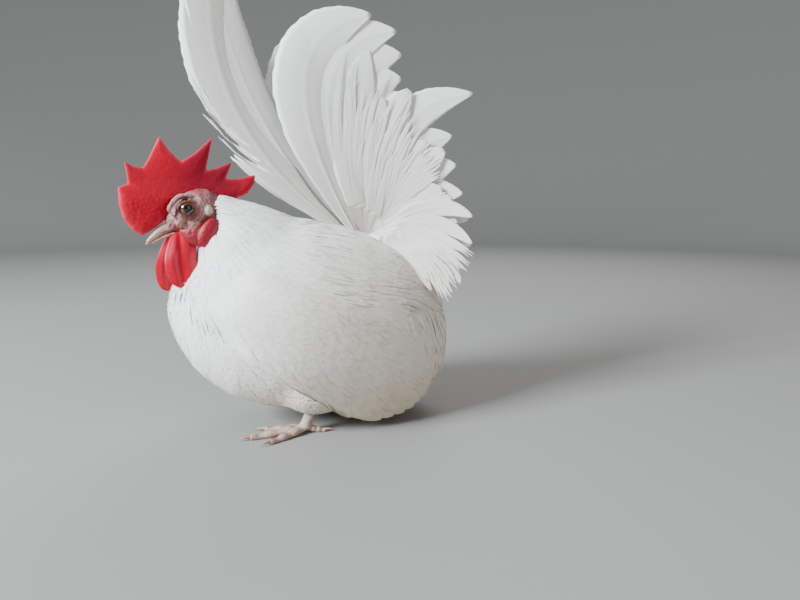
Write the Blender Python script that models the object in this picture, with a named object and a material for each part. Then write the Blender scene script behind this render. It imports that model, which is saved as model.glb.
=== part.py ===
"""A white Japanese bantam cock, life size, standing with its squirrel tail raised.

The bird faces -Y, its left side is +X and up is +Z.  Tables of sizes are in millimetres and
are made metres by MM where they are used.  Places are measured from the ground under the
middle of the body; the last lines move the whole bird to the bottom centre of its own box.
"""
import math

import bmesh
import bpy
from mathutils import Matrix, Vector
from mathutils.bvhtree import BVHTree

MM = 0.001
CLEARANCE = 0.3                # the gap that touching pieces keep, in millimetres
GAP = CLEARANCE * MM
VANE_GAP = 0.7 * GAP           # the same round thin vanes, whose sides a cutter swells twice

# Body: place along the bird (y), underside, back line and half width of each section.
BODY_SECTIONS = (
    (-84.5, 73.0, 79.0, 3.0),
    (-80.0, 56.0, 87.0, 17.0),
    (-70.0, 38.0, 97.0, 31.0),
    (-52.0, 22.0, 112.0, 42.5),
    (-30.0, 13.0, 121.5, 49.0),
    (-5.0, 10.0, 124.0, 51.5),
    (20.0, 9.0, 120.0, 50.5),
    (45.0, 8.0, 112.0, 45.5),
    (65.0, 10.5, 101.0, 36.5),
    (80.0, 19.0, 84.0, 23.0),
    (88.0, 41.0, 60.0, 4.0),
)
BODY_SQUARENESS = 2.25         # exponent of the body's superellipse sections
BODY_RINGS = 21
BODY_SIDES = 26

# Neck: y, z and radius of the core from the head down to the shoulders.
NECK_SECTIONS = (
    (-59.0, 130.5, 11.5),
    (-56.0, 122.0, 17.0),
    (-48.5, 112.0, 25.5),
    (-37.0, 99.0, 34.5),
    (-25.0, 86.0, 39.0),
)
NECK_LEAN = 5.0                # the neck's top leans this far to the bird's left, to the head

# Head: its own frame has its origin between the eyes.
HEAD_PLACE = (6.0, -71.6, 131.3)
HEAD_TURN = math.radians(8.0)  # turned a little to the bird's left
EYE_RADIUS = 4.8
EYE_DEPTH = 7.0                # from the middle of the head to the middle of an eye
LID_RING = 4.7                 # middle radius of the lids' ring
LID_THICK = 1.25

# Tail: the middle of its fan and the lean of each half away from the middle plane.
TAIL_HUB = (40.0, 106.0)
TAIL_INSET = 5.0

# Feathers: thicknesses, and outlines as places along the feather with the share of its width.
SMALL_VANE = 0.65              # thickness of a covert or a wing feather
SHINGLE_STEP = 0.95            # height from one tilted vane to the next
LOCK_THICK = 1.1
LOCK_STANDOFF = 6.0            # how far off the surface a lock's next step is looked for
LOCK_SHAPE = (0.45, 1.0, 0.9, 0.45)
BROAD = ((0.0, 0.2), (0.28, 0.72), (0.6, 1.0), (0.87, 0.8), (1.0, 0.28))
SMALL = ((0.0, 0.3), (0.3, 0.8), (0.65, 1.0), (0.88, 0.8), (1.0, 0.3))
SWORD = ((0.0, 0.2), (0.2, 0.65), (0.42, 0.95), (0.65, 1.0), (0.85, 0.7), (1.0, 0.08))

# Legs: y of the left and right foot, half the distance between them.
FOOT_PLACES = {1: -10.0, -1: 20.0}
FOOT_SPREAD = 27.0
ANKLE_HEIGHT = 6.0


def material(name, colour, roughness):
    """A plain shader of one colour for a finish of the bird."""
    finish = bpy.data.materials.new(name)
    finish.use_nodes = True
    shader = finish.node_tree.nodes["Principled BSDF"]
    shader.inputs["Base Color"].default_value = (*colour, 1.0)
    shader.inputs["Roughness"].default_value = roughness
    return finish


def read_table(table, place):
    """Reads a smooth curve through the rows of a table whose first column is the place."""
    last = len(table) - 1
    place = min(max(place, table[0][0]), table[last][0])
    row = max(k for k in range(last) if table[k][0] <= place)
    start, end = table[row], table[row + 1]
    span = end[0] - start[0]
    t = (place - start[0]) / span
    values = []
    for column in range(1, len(start)):
        slopes = []
        for k in (row, row + 1):
            before, after = table[max(k - 1, 0)], table[min(k + 1, last)]
            slopes.append((after[column] - before[column]) / (after[0] - before[0]) * span)
        a, b = start[column], end[column]
        values.append(a + slopes[0] * t + (3 * (b - a) - 2 * slopes[0] - slopes[1]) * t ** 2
                      + (2 * (a - b) + slopes[0] + slopes[1]) * t ** 3)
    return values


def body_section(y):
    """Middle height, half height and half width of the body at y, in millimetres."""
    under, back, half_width = read_table(BODY_SECTIONS, y)
    return (under + back) / 2, (back - under) / 2, half_width


def side_of_body(y, z):
    """How far the body reaches sideways at y and z; below its middle, the wing's hang."""
    middle, half_height, half_width = body_section(y)
    if z < middle:
        return half_width - 0.0042 * (middle - z) ** 2
    rise = min((z - middle) / half_height, 0.97)
    return half_width * (1 - rise ** BODY_SQUARENESS) ** (1 / BODY_SQUARENESS)


def loft(name, rings, start=None, end=None):
    """Skins a row of rings; start and end close it in a point, otherwise with a flat cap.

    The quads of the second half of each ring are cut along the mirrored diagonal, so the two
    faces of a thin vane are split alike.
    """
    mesh = bmesh.new()
    rows = [[mesh.verts.new(point) for point in ring] for ring in rings]
    count = len(rings[0])
    for row, following in zip(rows, rows[1:]):
        for i in range(count):
            a, b = row[i], row[(i + 1) % count]
            c, d = following[(i + 1) % count], following[i]
            if i < count // 2:
                mesh.faces.new((a, b, c))
                mesh.faces.new((a, c, d))
            else:
                mesh.faces.new((a, b, d))
                mesh.faces.new((b, c, d))
    for row, tip in ((rows[0], start), (rows[-1], end)):
        if tip is None:
            mesh.faces.new(row)
        else:
            point = mesh.verts.new(tip)
            for i in range(count):
                mesh.faces.new((row[i], row[(i + 1) % count], point))
    bmesh.ops.triangulate(mesh, faces=[face for face in mesh.faces if len(face.verts) > 3])
    bmesh.ops.recalc_face_normals(mesh, faces=mesh.faces)
    return finished_object(name, mesh)


def finished_object(name, mesh):
    """Turns a bmesh into an object of the scene."""
    data = bpy.data.meshes.new(name)
    mesh.to_mesh(data)
    mesh.free()
    thing = bpy.data.objects.new(name, data)
    bpy.context.scene.collection.objects.link(thing)
    return thing


def middle_of(ring):
    return sum(ring, Vector()) / len(ring)


def tube(name, line, radii, sides, flatten=1.0):
    """A closed tube along a line of points, with a radius at each; flatten squeezes it in z."""
    rings = []
    for k, point in enumerate(line):
        ahead = (line[min(k + 1, len(line) - 1)] - line[max(k - 1, 0)]).normalized()
        across = ahead.cross(Vector((0, 0, 1)))
        if across.length < 0.2:
            across = ahead.cross(Vector((0, 1, 0)))
        across.normalize()
        rise = across.cross(ahead)
        rings.append([point + radii[k] * (math.cos(a) * across + math.sin(a) * flatten * rise)
                      for a in (math.tau * i / sides for i in range(sides))])
    return loft(name, rings)


def ball(name, centre, radii, segments=16, rings=10, turn=None):
    """An ellipsoid from a UV sphere."""
    mesh = bmesh.new()
    bmesh.ops.create_uvsphere(mesh, u_segments=segments, v_segments=rings, radius=1.0)
    place = Matrix.Translation(Vector(centre) * MM)
    if turn is not None:
        place = place @ turn.to_4x4()
    place = place @ Matrix.Diagonal(Vector(radii) * MM).to_4x4()
    bmesh.ops.transform(mesh, matrix=place, verts=mesh.verts)
    bmesh.ops.triangulate(mesh, faces=mesh.faces)
    return finished_object(name, mesh)


def block(name, low, high):
    """A box between two corners, used as a cutter."""
    mesh = bmesh.new()
    bmesh.ops.create_cube(mesh, size=1.0)
    low, high = Vector(low) * MM, Vector(high) * MM
    place = Matrix.Translation((low + high) / 2) @ Matrix.Diagonal(high - low).to_4x4()
    bmesh.ops.transform(mesh, matrix=place, verts=mesh.verts)
    return finished_object(name, mesh)


def swollen(thing, by):
    """A copy of a piece grown by a given distance along its normals, used as a cutter."""
    copy = thing.copy()
    copy.data = thing.data.copy()
    bpy.context.scene.collection.objects.link(copy)
    mesh = bmesh.new()
    mesh.from_mesh(copy.data)
    mesh.normal_update()
    steps = [(vert, vert.normal.copy()) for vert in mesh.verts]
    for vert, normal in steps:
        vert.co += normal * by
    mesh.to_mesh(copy.data)
    mesh.free()
    return copy


def keep_largest(thing):
    """Keeps the largest closed surface of a mesh, in triangles."""
    mesh = bmesh.new()
    mesh.from_mesh(thing.data)
    bmesh.ops.triangulate(mesh, faces=mesh.faces)
    unseen = set(mesh.verts)
    groups = []
    while unseen:
        group, front = set(), [unseen.pop()]
        while front:
            vert = front.pop()
            group.add(vert)
            for edge in vert.link_edges:
                other = edge.other_vert(vert)
                if other in unseen:
                    unseen.remove(other)
                    front.append(other)
        groups.append(group)

    def reach(group):
        corners = [[getattr(vert.co, axis) for vert in group] for axis in "xyz"]
        return sum((max(values) - min(values)) ** 2 for values in corners)

    largest = max(groups, key=reach)
    bmesh.ops.delete(mesh, geom=[vert for vert in mesh.verts if vert not in largest],
                     context="VERTS")
    bmesh.ops.recalc_face_normals(mesh, faces=mesh.faces)
    mesh.to_mesh(thing.data)
    mesh.free()


def is_closed(thing):
    """True where every edge of a mesh joins exactly two faces."""
    mesh = bmesh.new()
    mesh.from_mesh(thing.data)
    closed = len(mesh.faces) > 0 and all(len(edge.link_faces) == 2 for edge in mesh.edges)
    mesh.free()
    return closed


def combine(thing, pieces, operation):
    """Joins pieces to a thing with UNION, or cuts them out of it with DIFFERENCE.

    The exact solver leaves an open edge now and then where many vanes meet; the manifold
    solver then does the step.
    """
    holder = bpy.data.collections.new("pieces of " + thing.name)
    bpy.context.scene.collection.children.link(holder)
    for piece in pieces:
        holder.objects.link(piece)
    before = thing.data
    for solver in ("EXACT", "MANIFOLD"):
        thing.data = before
        modifier = thing.modifiers.new("pieces", "BOOLEAN")
        modifier.operand_type = "COLLECTION"
        modifier.collection = holder
        modifier.operation = operation
        modifier.solver = solver
        seen = thing.evaluated_get(bpy.context.evaluated_depsgraph_get())
        mesh = bpy.data.meshes.new_from_object(seen)
        thing.modifiers.clear()
        thing.data = mesh
        keep_largest(thing)
        if is_closed(thing):
            break
    for piece in pieces:
        bpy.data.objects.remove(piece)
    bpy.data.collections.remove(holder)


def torso_body(name):
    """The whole body as one loft along the bird, from the breast to the fluff behind."""
    first, last = BODY_SECTIONS[0][0], BODY_SECTIONS[-1][0]
    rings = []
    for k in range(BODY_RINGS):
        y = (first + last) / 2 - (last - first) / 2 * math.cos(math.pi * k / (BODY_RINGS - 1))
        middle, half_height, half_width = body_section(y)
        ring = []
        for i in range(BODY_SIDES):
            angle = math.tau * i / BODY_SIDES
            c, s = math.cos(angle), math.sin(angle)
            x = half_width * math.copysign(abs(c) ** (2 / BODY_SQUARENESS), c)
            z = half_height * math.copysign(abs(s) ** (2 / BODY_SQUARENESS), s)
            ring.append(Vector((x, y, middle + z)) * MM)
        rings.append(ring)
    return loft(name, rings, middle_of(rings[0]) + Vector((0, -0.6 * MM, 0)),
                middle_of(rings[-1]) + Vector((0, 0.8 * MM, 0)))


def neck_core(name):
    """The neck as a bent cone of round sections from the head into the shoulders."""
    rings = []
    for k, (y, z, radius) in enumerate(NECK_SECTIONS):
        before = NECK_SECTIONS[max(k - 1, 0)]
        after = NECK_SECTIONS[min(k + 1, len(NECK_SECTIONS) - 1)]
        down = Vector((0, after[0] - before[0], after[1] - before[1])).normalized()
        rise = Vector((1, 0, 0)).cross(down)
        lean = NECK_LEAN * (1 - k / (len(NECK_SECTIONS) - 1))
        centre = Vector((lean, y, z))
        rings.append([(centre + radius * (math.cos(a) * Vector((1, 0, 0)) + math.sin(a) * rise))
                      * MM for a in (math.tau * i / 24 for i in range(24))])
    return loft(name, rings)


def tail_surface(y, z, height, side):
    """A point of the tented tail: half of it leans outwards the further it turns back."""
    turn = math.degrees(math.atan2(z - TAIL_HUB[1], y - TAIL_HUB[0]))
    turn = min(max(turn, 0.0), 110.0)
    lean = math.radians(3.0 + 24.0 * ((110.0 - turn) / 110.0) ** 1.3)
    reach = math.hypot(y - TAIL_HUB[0], z - TAIL_HUB[1])
    return Vector((side * (TAIL_INSET + reach * math.tan(lean) + height), y, z)) * MM


def wing_surface(y, z, height, side):
    """A point over the body's side, a given height out from it."""
    return Vector((side * (side_of_body(y, z) + height), y, z)) * MM


def bend(root, control, tip, t):
    """A point and the direction of a quadratic Bezier curve in the y-z plane."""
    root, control, tip = Vector(root), Vector(control), Vector(tip)
    point = root * (1 - t) ** 2 + control * 2 * t * (1 - t) + tip * t ** 2
    heading = (control - root) * (1 - t) + (tip - control) * t
    return point, heading.normalized()


def vane(name, chart, side, curve, half_width, root_height, height, profile, tilt=None,
         edge_thick=0.55, shaft_thick=0.95):
    """A feather laid over a chart, its shaft bent along curve, its root sunk in its node.

    profile lists places along the curve with the share of half_width there.  tilt gives the
    distance to the next feather at the root and at the tip: the vane is then tilted across
    its width so that each lies on the next like a shingle.
    """
    rings = []
    for t, share in profile:
        point, heading = bend(*curve, t)
        across = Vector((-heading.y, heading.x))
        reach = half_width * share
        lift = root_height + (height - root_height) * min(1.0, t / 0.28)
        step = SHINGLE_STEP * reach / (tilt[0] + (tilt[1] - tilt[0]) * t) if tilt else 0.0
        thin = min(1.0, 0.4 + 2.4 * (1 - t))
        left, right = point + across * reach, point - across * reach
        edge, shaft = edge_thick * thin / 2, shaft_thick * thin / 2
        ring = [chart(left.x, left.y, lift + step + edge, side),
                chart(point.x, point.y, lift + shaft, side),
                chart(right.x, right.y, lift - step + edge, side),
                chart(right.x, right.y, lift - step - edge, side),
                chart(point.x, point.y, lift - shaft, side),
                chart(left.x, left.y, lift + step - edge, side)]
        if shaft_thick == edge_thick:
            del ring[4], ring[1]
        rings.append(ring)
    return loft(name, rings)


def surface_of(things):
    """One search tree over the faces of several pieces."""
    points, faces = [], []
    for thing in things:
        first = len(points)
        points += [thing.matrix_world @ vert.co for vert in thing.data.vertices]
        faces += [[first + k for k in face.vertices] for face in thing.data.polygons]
    return BVHTree.FromPolygons(points, faces)


def lock(surface, start, heading, length, half_width, heights=(-2.6, 1.1, 2.7, 4.2)):
    """A flat tapered lock that starts under a surface and then lies along it."""
    spot, normal = surface.find_nearest(start)[:2]
    heading = (heading - normal * heading.dot(normal)).normalized()
    stride = length / (len(heights) - 1)
    rings = []
    for k, height in enumerate(heights):
        t = k / (len(heights) - 1)
        if k:
            ahead = spot + normal * LOCK_STANDOFF * MM + heading * stride
            found = surface.find_nearest(ahead)[0]
            normal = (ahead - found).normalized()
            heading = found - spot
            heading = (heading - normal * heading.dot(normal)).normalized()
            spot = found
        across = normal.cross(heading)
        reach = half_width * LOCK_SHAPE[k]
        thick = normal * LOCK_THICK * (1.0 - 0.55 * t) * MM / 2
        centre = spot + normal * height * MM
        rings.append([centre + across * reach, centre + thick, centre - across * reach,
                      centre - thick])
    tip = middle_of(rings[-1]) + heading * stride * 0.35
    return loft("lock", rings, None, tip)


def side_name(side):
    return "left" if side > 0 else "right"


def tail_core(name, side, front, back):
    """Half of the tail's fleshy root, on the rump between front and back."""
    core = ball(name, (side * 1.0, 36.0, 112.0), (13.5, 32.0, 19.0), 14, 8)
    inner = block("inner", (-60 * side, -40, 60), (side * 0.15, 120, 180)) if side > 0 else \
        block("inner", (side * 0.15, -40, 60), (-60 * side, 120, 180))
    before = block("before", (-60, -60, 60), (60, front, 180))
    behind = block("behind", (-60, back, 60), (60, 140, 180))
    combine(core, [inner, before, behind], "DIFFERENCE")
    return core


SPLIT = 26.0                   # where the sickles' root ends and the fan's root begins

# Fan feathers from the front back: root, control and tip in y and z, and half width.
FAN = (
    ((27.0, 115.0), (-34.0, 212.0), (11.0, 240.5), 16.5),
    ((30.0, 115.0), (-8.0, 212.0), (33.0, 240.5), 14.0),
    ((33.0, 115.0), (9.0, 206.0), (49.0, 231.5), 13.0),
    ((35.0, 115.0), (24.0, 188.0), (53.0, 211.0), 12.5),
    ((38.0, 114.0), (38.0, 190.0), (97.0, 198.0), 11.0),
    ((41.0, 113.0), (50.0, 163.0), (86.0, 176.0), 12.0),
    ((43.0, 112.0), (60.0, 142.0), (92.0, 146.0), 12.5),
)
# Coverts and lesser sickles over the fan's root, with their height above its inner feather.
COVERTS = (
    ((33.0, 116.0), (4.0, 178.0), (20.0, 203.0), 12.0, 11.8),
    ((36.0, 115.0), (28.0, 160.0), (50.0, 184.0), 11.0, 10.6),
    ((39.0, 114.0), (52.0, 142.0), (78.0, 154.0), 10.0, 11.8),
    ((41.0, 113.0), (66.0, 134.0), (94.0, 123.0), 8.0, 10.6),
    ((40.0, 112.0), (74.0, 126.0), (83.0, 82.0), 5.8, 13.0),
    ((38.0, 112.0), (58.0, 124.0), (73.0, 90.0), 6.2, 14.2),
)
# Upright feathers in front of the fan: the main sickle and the two that it covers.
SICKLES = (
    ((19.0, 119.0), (-80.0, 181.0), (-42.0, 292.0), 14.0, -0.9),
    ((21.0, 119.0), (-50.0, 188.0), (-45.0, 270.0), 11.5, -2.4),
    ((16.0, 118.0), (-42.0, 154.0), (-55.0, 218.0), 6.5, -3.9),
)
# Wing: the line of feather roots from the lowest to the highest, and the line of their tips.
WING_ROOTS = ((0.0, -34.0, 43.0), (0.5, -38.0, 69.0), (1.0, -19.0, 97.0))
WING_TIPS = ((0.0, 15.0, 8.5), (0.15, 36.0, 7.0), (0.3, 54.0, 9.5), (0.45, 66.0, 17.0),
             (0.6, 72.0, 28.0), (0.75, 72.0, 41.0), (0.9, 67.0, 55.0), (1.0, 61.0, 65.0))
WING_TIERS = (                 # feathers, share of the way to the tips, half width, height
    (10, 1.0, 7.2, 2.4),
    (6, 0.56, 8.6, 4.5),
    (4, 0.36, 10.6, 6.6),
)


def tail(side):
    """The fan of one side: its main feathers in layers, with the coverts over their roots."""
    core = tail_core("tail_" + side_name(side), side, SPLIT + 0.15, 80.0)
    pieces = []
    for k, (root, control, tip, half_width) in enumerate(FAN):
        under = len(FAN) - 1 - k
        pieces.append(vane("fan feather", tail_surface, side, (root, control, tip), half_width,
                           -1.5 + 0.8 * under, 0.8 + 1.4 * under, BROAD))
    for root, control, tip, half_width, height in COVERTS:
        pieces.append(vane("covert", tail_surface, side, (root, control, tip), half_width,
                           3.0, height, SWORD, None, SMALL_VANE, SMALL_VANE))
    combine(core, pieces, "UNION")
    return core


def sickles(side):
    """The upright sickles of one side on the front of the tail's root."""
    core = tail_core("sickles_" + side_name(side), side, -10.0, SPLIT - 0.15)
    pieces = [vane("sickle", tail_surface, side, (root, control, tip), half_width,
                   height, height, SWORD)
              for root, control, tip, half_width, height in SICKLES]
    combine(core, pieces, "UNION")
    return core


def wing(side):
    """One wing: the arm under its skin, the flight feathers and two tiers of coverts."""
    arm = vane("wing_" + side_name(side), wing_surface, side,
               ((-16.0, 103.0), (-62.0, 86.0), (-22.0, 33.0)), 12.0, 3.4, 3.4,
               ((0.0, 0.3), (0.18, 0.8), (0.4, 1.0), (0.65, 1.0), (0.85, 0.75), (1.0, 0.25)),
               None, 2.0, 4.8)
    pieces = []
    for count, share, half_width, height in WING_TIERS:
        for k in range(count):
            s = k / (count - 1)
            root = Vector(read_table(WING_ROOTS, s))
            tip = root.lerp(Vector(read_table(WING_TIPS, s)), share)
            sag = Vector((0.0, -0.07 * (tip - root).length))
            pieces.append(vane("wing feather", wing_surface, side,
                               (root, (root + tip) / 2 + sag, tip), half_width, 3.4, height,
                               SMALL, (62.0 / count, (62.0 + 50.0 * share) / count),
                               SMALL_VANE, SMALL_VANE))
    combine(arm, pieces, "UNION")
    return arm


# Saddle locks: angle from the middle of the back, first and last y, how many, length.
SADDLE_ROWS = ((16.0, 4.0, 34.0, 4, 42.0), (40.0, 2.0, 50.0, 6, 38.0), (62.0, 46.0, 64.0, 3, 30.0))
SADDLE_HALF_WIDTH = 3.7
# Hackle tiers: place along the neck, locks, length, half width.
HACKLE_TIERS = ((0.08, 8, 27.0, 3.5), (0.32, 9, 33.0, 4.7), (0.58, 10, 37.0, 5.9),
                (0.84, 11, 38.0, 6.9))
HACKLE_SPAN = math.radians(138.0)   # how far round from the nape the locks go, each side


def saddle_locks(surface):
    """The pointed feathers that fall from the back over both sides of the rump."""
    pieces = []
    for side in (1, -1):
        for angle, first, last, count, length in SADDLE_ROWS:
            for k in range(count):
                y = first + (last - first) * k / (count - 1)
                middle, half_height, half_width = body_section(y)
                turn = math.radians(angle + 2.0 * math.sin(5.0 * k))
                start = Vector((side * half_width * math.sin(turn) * 1.1, y,
                                middle + half_height * math.cos(turn) * 1.1)) * MM
                heading = Vector((side * math.cos(turn) * 0.7, 0.75, -math.sin(turn) - 0.15))
                pieces.append(lock(surface, start, heading, length * MM,
                                   SADDLE_HALF_WIDTH * MM))
    return pieces


def hackle_locks(surface):
    """The pointed feathers of the neck in four tiers from the head down."""
    pieces = []
    sections = NECK_SECTIONS
    table = [(k / (len(sections) - 1), *row) for k, row in enumerate(sections)]
    for tier, (place, count, length, half_width) in enumerate(HACKLE_TIERS):
        y, z, radius = read_table(table, place)
        later = read_table(table, min(place + 0.05, 1.0))
        down = Vector((0, later[0] - y, later[1] - z)).normalized()
        rise = Vector((1, 0, 0)).cross(down)
        if rise.y < 0:
            rise.negate()
        centre = Vector((NECK_LEAN * (1 - place), y, z))
        for k in range(count):
            turn = HACKLE_SPAN * (2 * (k + 0.25 * (tier % 2)) / (count - 1) - 1)
            out = math.sin(turn) * Vector((1, 0, 0)) + math.cos(turn) * rise
            start = (centre + out * radius * 1.05) * MM
            heading = down * 0.8 + Vector((0, 0.35, -0.1)) + out * 0.2
            pieces.append(lock(surface, start, heading, length * MM, half_width * MM))
    return pieces


def in_head(thing):
    """Sets a piece that is made in the head's own frame on the head's place."""
    thing.location = Vector(HEAD_PLACE) * MM
    thing.rotation_euler = (0.0, 0.0, HEAD_TURN)
    bpy.context.view_layer.update()
    return thing


# Head sections in its own frame: y and z of the middle, half width, half height.
HEAD_SECTIONS = (
    (-9.5, -7.6, 4.3, 4.9),
    (-6.5, -5.6, 6.6, 7.2),
    (-3.0, -3.2, 8.9, 9.2),
    (1.5, -1.2, 10.6, 10.7),
    (7.0, 0.0, 11.4, 11.4),
    (12.5, 0.3, 10.9, 10.9),
    (17.5, -0.6, 8.6, 8.8),
    (20.5, -1.6, 5.0, 5.2),
)
HEAD_SIDES = 18


def skull(name, grow=0.0):
    """The head without its beak, comb and lobes."""
    rings = []
    for k, (y, z, half_width, half_height) in enumerate(HEAD_SECTIONS):
        before = HEAD_SECTIONS[max(k - 1, 0)]
        after = HEAD_SECTIONS[min(k + 1, len(HEAD_SECTIONS) - 1)]
        along = Vector((0, after[0] - before[0], after[1] - before[1])).normalized()
        rise = along.cross(Vector((1, 0, 0))) * -1
        ring = []
        for i in range(HEAD_SIDES):
            angle = math.tau * i / HEAD_SIDES
            ring.append((Vector((0, y, z)) + (half_width + grow) * math.cos(angle)
                         * Vector((1, 0, 0)) + (half_height + grow) * math.sin(angle) * rise)
                        * MM)
        rings.append(ring)
    return in_head(loft(name, rings))


def eye(name, side, grow=0.0):
    """One eyeball, which shows between the lids."""
    return in_head(ball(name, (side * EYE_DEPTH, 0.0, 0.0), (EYE_RADIUS + grow,) * 3, 10, 7))


def lids(side):
    """The two lids round an eye as one raised ring."""
    bpy.ops.mesh.primitive_torus_add(major_segments=12, minor_segments=5,
                                     major_radius=LID_RING * MM, minor_radius=LID_THICK * MM,
                                     rotation=(0.0, math.pi / 2, 0.0),
                                     location=(side * 9.9 * MM, 0.0, 0.0))
    ring = bpy.context.object
    ring.data.transform(ring.matrix_world)
    ring.matrix_world = Matrix()
    return in_head(ring)


def head():
    """The head with its lids and ear patches, and a socket for each eye."""
    whole = skull("head")
    extras = [lids(side) for side in (1, -1)]
    extras += [in_head(ball("ear", (side * 9.8, 10.8, -0.8), (2.5, 3.1, 3.1), 10, 6))
               for side in (1, -1)]
    combine(whole, extras, "UNION")
    combine(whole, [eye("socket", side, CLEARANCE) for side in (1, -1)], "DIFFERENCE")
    return whole


# Beak halves: y and z of the middle of each section, half width and half height.
BEAK_UPPER = ((-8.0, -9.9, 4.2, 3.0), (-11.8, -11.3, 3.7, 3.1), (-15.6, -13.8, 2.8, 2.6),
              (-18.9, -16.5, 1.7, 1.8), (-21.2, -19.1, 0.8, 0.8))
BEAK_LOWER = ((-7.5, -13.6, 3.6, 1.6), (-11.2, -14.9, 3.0, 1.5), (-15.0, -16.9, 2.1, 1.2),
              (-18.2, -18.6, 1.1, 0.8))


def beak_half(name, sections):
    rings = []
    for k, (y, z, half_width, half_height) in enumerate(sections):
        before = sections[max(k - 1, 0)]
        after = sections[min(k + 1, len(sections) - 1)]
        along = Vector((0, after[0] - before[0], after[1] - before[1])).normalized()
        rise = along.cross(Vector((1, 0, 0)))
        rings.append([(Vector((0, y, z)) + half_width * math.cos(a) * Vector((1, 0, 0))
                       + half_height * math.sin(a) * rise) * MM
                      for a in (math.tau * i / 12 for i in range(12))])
    return in_head(loft(name, rings))


def nostril(side):
    """The slit of one nostril, cut into the side of the upper beak."""
    turn = Matrix.Rotation(math.radians(38.0), 3, "X")
    return in_head(ball("nostril", (side * 4.1, -11.8, -10.6), (1.5, 1.8, 0.7), 8, 6, turn))


# Comb in the head's middle plane: place of each point and of the valley behind it.
COMB_POINTS = (
    ((-33.4, 11.6), (-28.2, 13.6)),
    ((-29.4, 25.0), (-20.2, 22.0)),
    ((-11.1, 38.8), (-0.8, 25.8)),
    ((17.0, 39.3), (12.8, 21.0)),
    ((27.5, 26.2), (23.6, 16.4)),
)
COMB_BLADE = ((40.6, 19.3), (40.2, 14.6), (35.6, 8.4), (27.0, 5.6), (14.0, 4.8))
COMB_FOOT = ((2.0, 4.0), (-7.0, 1.0), (-10.5, -5.5), (-15.0, -9.4), (-22.8, -14.4),
             (-27.6, -11.6), (-31.4, -5.6), (-33.2, 2.6))
COMB_THICK = 2.6
COMB_FOOT_THICK = 6.0


def comb():
    """The single comb: a blade with five points and a lobe that hangs over the beak."""
    outline = []
    for tip, valley in COMB_POINTS:
        outline += [tip, valley]
    outline += [*COMB_BLADE, *COMB_FOOT]
    curve = bpy.data.curves.new("comb", "CURVE")
    curve.dimensions = "2D"
    curve.fill_mode = "BOTH"
    curve.extrude = (COMB_THICK / 2 - 0.7) * MM
    curve.bevel_depth = 0.7 * MM
    curve.offset = -0.7 * MM
    curve.bevel_resolution = 1
    spline = curve.splines.new("POLY")
    spline.points.add(len(outline) - 1)
    for point, (y, z) in zip(spline.points, outline):
        point.co = (y * MM, z * MM, 0.0, 1.0)
    spline.use_cyclic_u = True
    flat = bpy.data.objects.new("comb outline", curve)
    bpy.context.scene.collection.objects.link(flat)
    seen = flat.evaluated_get(bpy.context.evaluated_depsgraph_get())
    data = bpy.data.meshes.new_from_object(seen)
    bpy.data.objects.remove(flat)
    mesh = bmesh.new()
    mesh.from_mesh(data)
    bmesh.ops.remove_doubles(mesh, verts=mesh.verts, dist=1e-6)
    for vert in mesh.verts:
        y, z, x = vert.co
        low = min(max((14.0 - z / MM) / 12.0, 0.0), 1.0)
        vert.co = (x * (1 + (COMB_FOOT_THICK / COMB_THICK - 1) * low), y, z)
    bmesh.ops.recalc_face_normals(mesh, faces=mesh.faces)
    return in_head(finished_object("comb", mesh))


# Wattles: how far each hangs down, and how far forwards its end leans.
WATTLES = {1: (30.0, 0.2), -1: (32.0, 4.5)}
WATTLE_TOP = -14.5


def wattle(side):
    """A hanging red wattle, thick at its rim and hollowed down its middle."""
    drop, lean = WATTLES[side]
    rings = []
    steps = 7
    for k in range(steps):
        t = k / (steps - 1)
        half_width = (4.2 + 4.2 * math.sin(math.pi * min(t * 0.62 + 0.12, 1.0))) \
            * (1 - max(0.0, (t - 0.72) / 0.28) ** 2 * 0.72)
        half_thick = 1.5 + 1.1 * t * (1 - max(0.0, (t - 0.8) / 0.2) ** 2 * 0.6)
        centre = Vector((side * (4.6 + 4.2 * math.sin(math.pi * 0.55 * t)), -4.6 - lean * t,
                         WATTLE_TOP - drop * t))
        ring = []
        for i in range(12):
            angle = math.tau * i / 12
            c, s = math.cos(angle), math.sin(angle)
            hollow = 1 - 0.3 * math.exp(-(c / 0.38) ** 2)
            ring.append((centre + Vector((half_thick * s * hollow, half_width * c, 0))) * MM)
        rings.append(ring)
    tip = middle_of(rings[-1]) + Vector((0, 0, -1.3 * MM))
    return in_head(loft("wattle_" + side_name(side), rings, None, tip))


def earlobe(side):
    """The red lobe under the ear, flat against the cheek, its lower end further forward."""
    turn = Matrix.Rotation(math.radians(-27.0), 3, "X")
    return in_head(ball("earlobe_" + side_name(side), (side * 12.6, 10.0, -12.9),
                        (2.7, 4.9, 9.0), 10, 7, turn))


def thigh(side):
    """The feathered thigh, a lobe that shows under the body."""
    return ball("thigh_" + side_name(side),
                (side * FOOT_SPREAD, FOOT_PLACES[side] + 7.0, 33.0), (19.0, 25.0, 22.0), 14, 9)


# Toes: heading in degrees from straight ahead (outwards is positive), length and radius.
TOES = (("inner", -24.0, 25.0, 2.3), ("middle", 2.0, 33.0, 2.6), ("outer", 27.0, 26.0, 2.3),
        ("back", 168.0, 11.0, 1.9))
FLOOR = (-80, -90, -20), (80, 90, 0)


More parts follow.
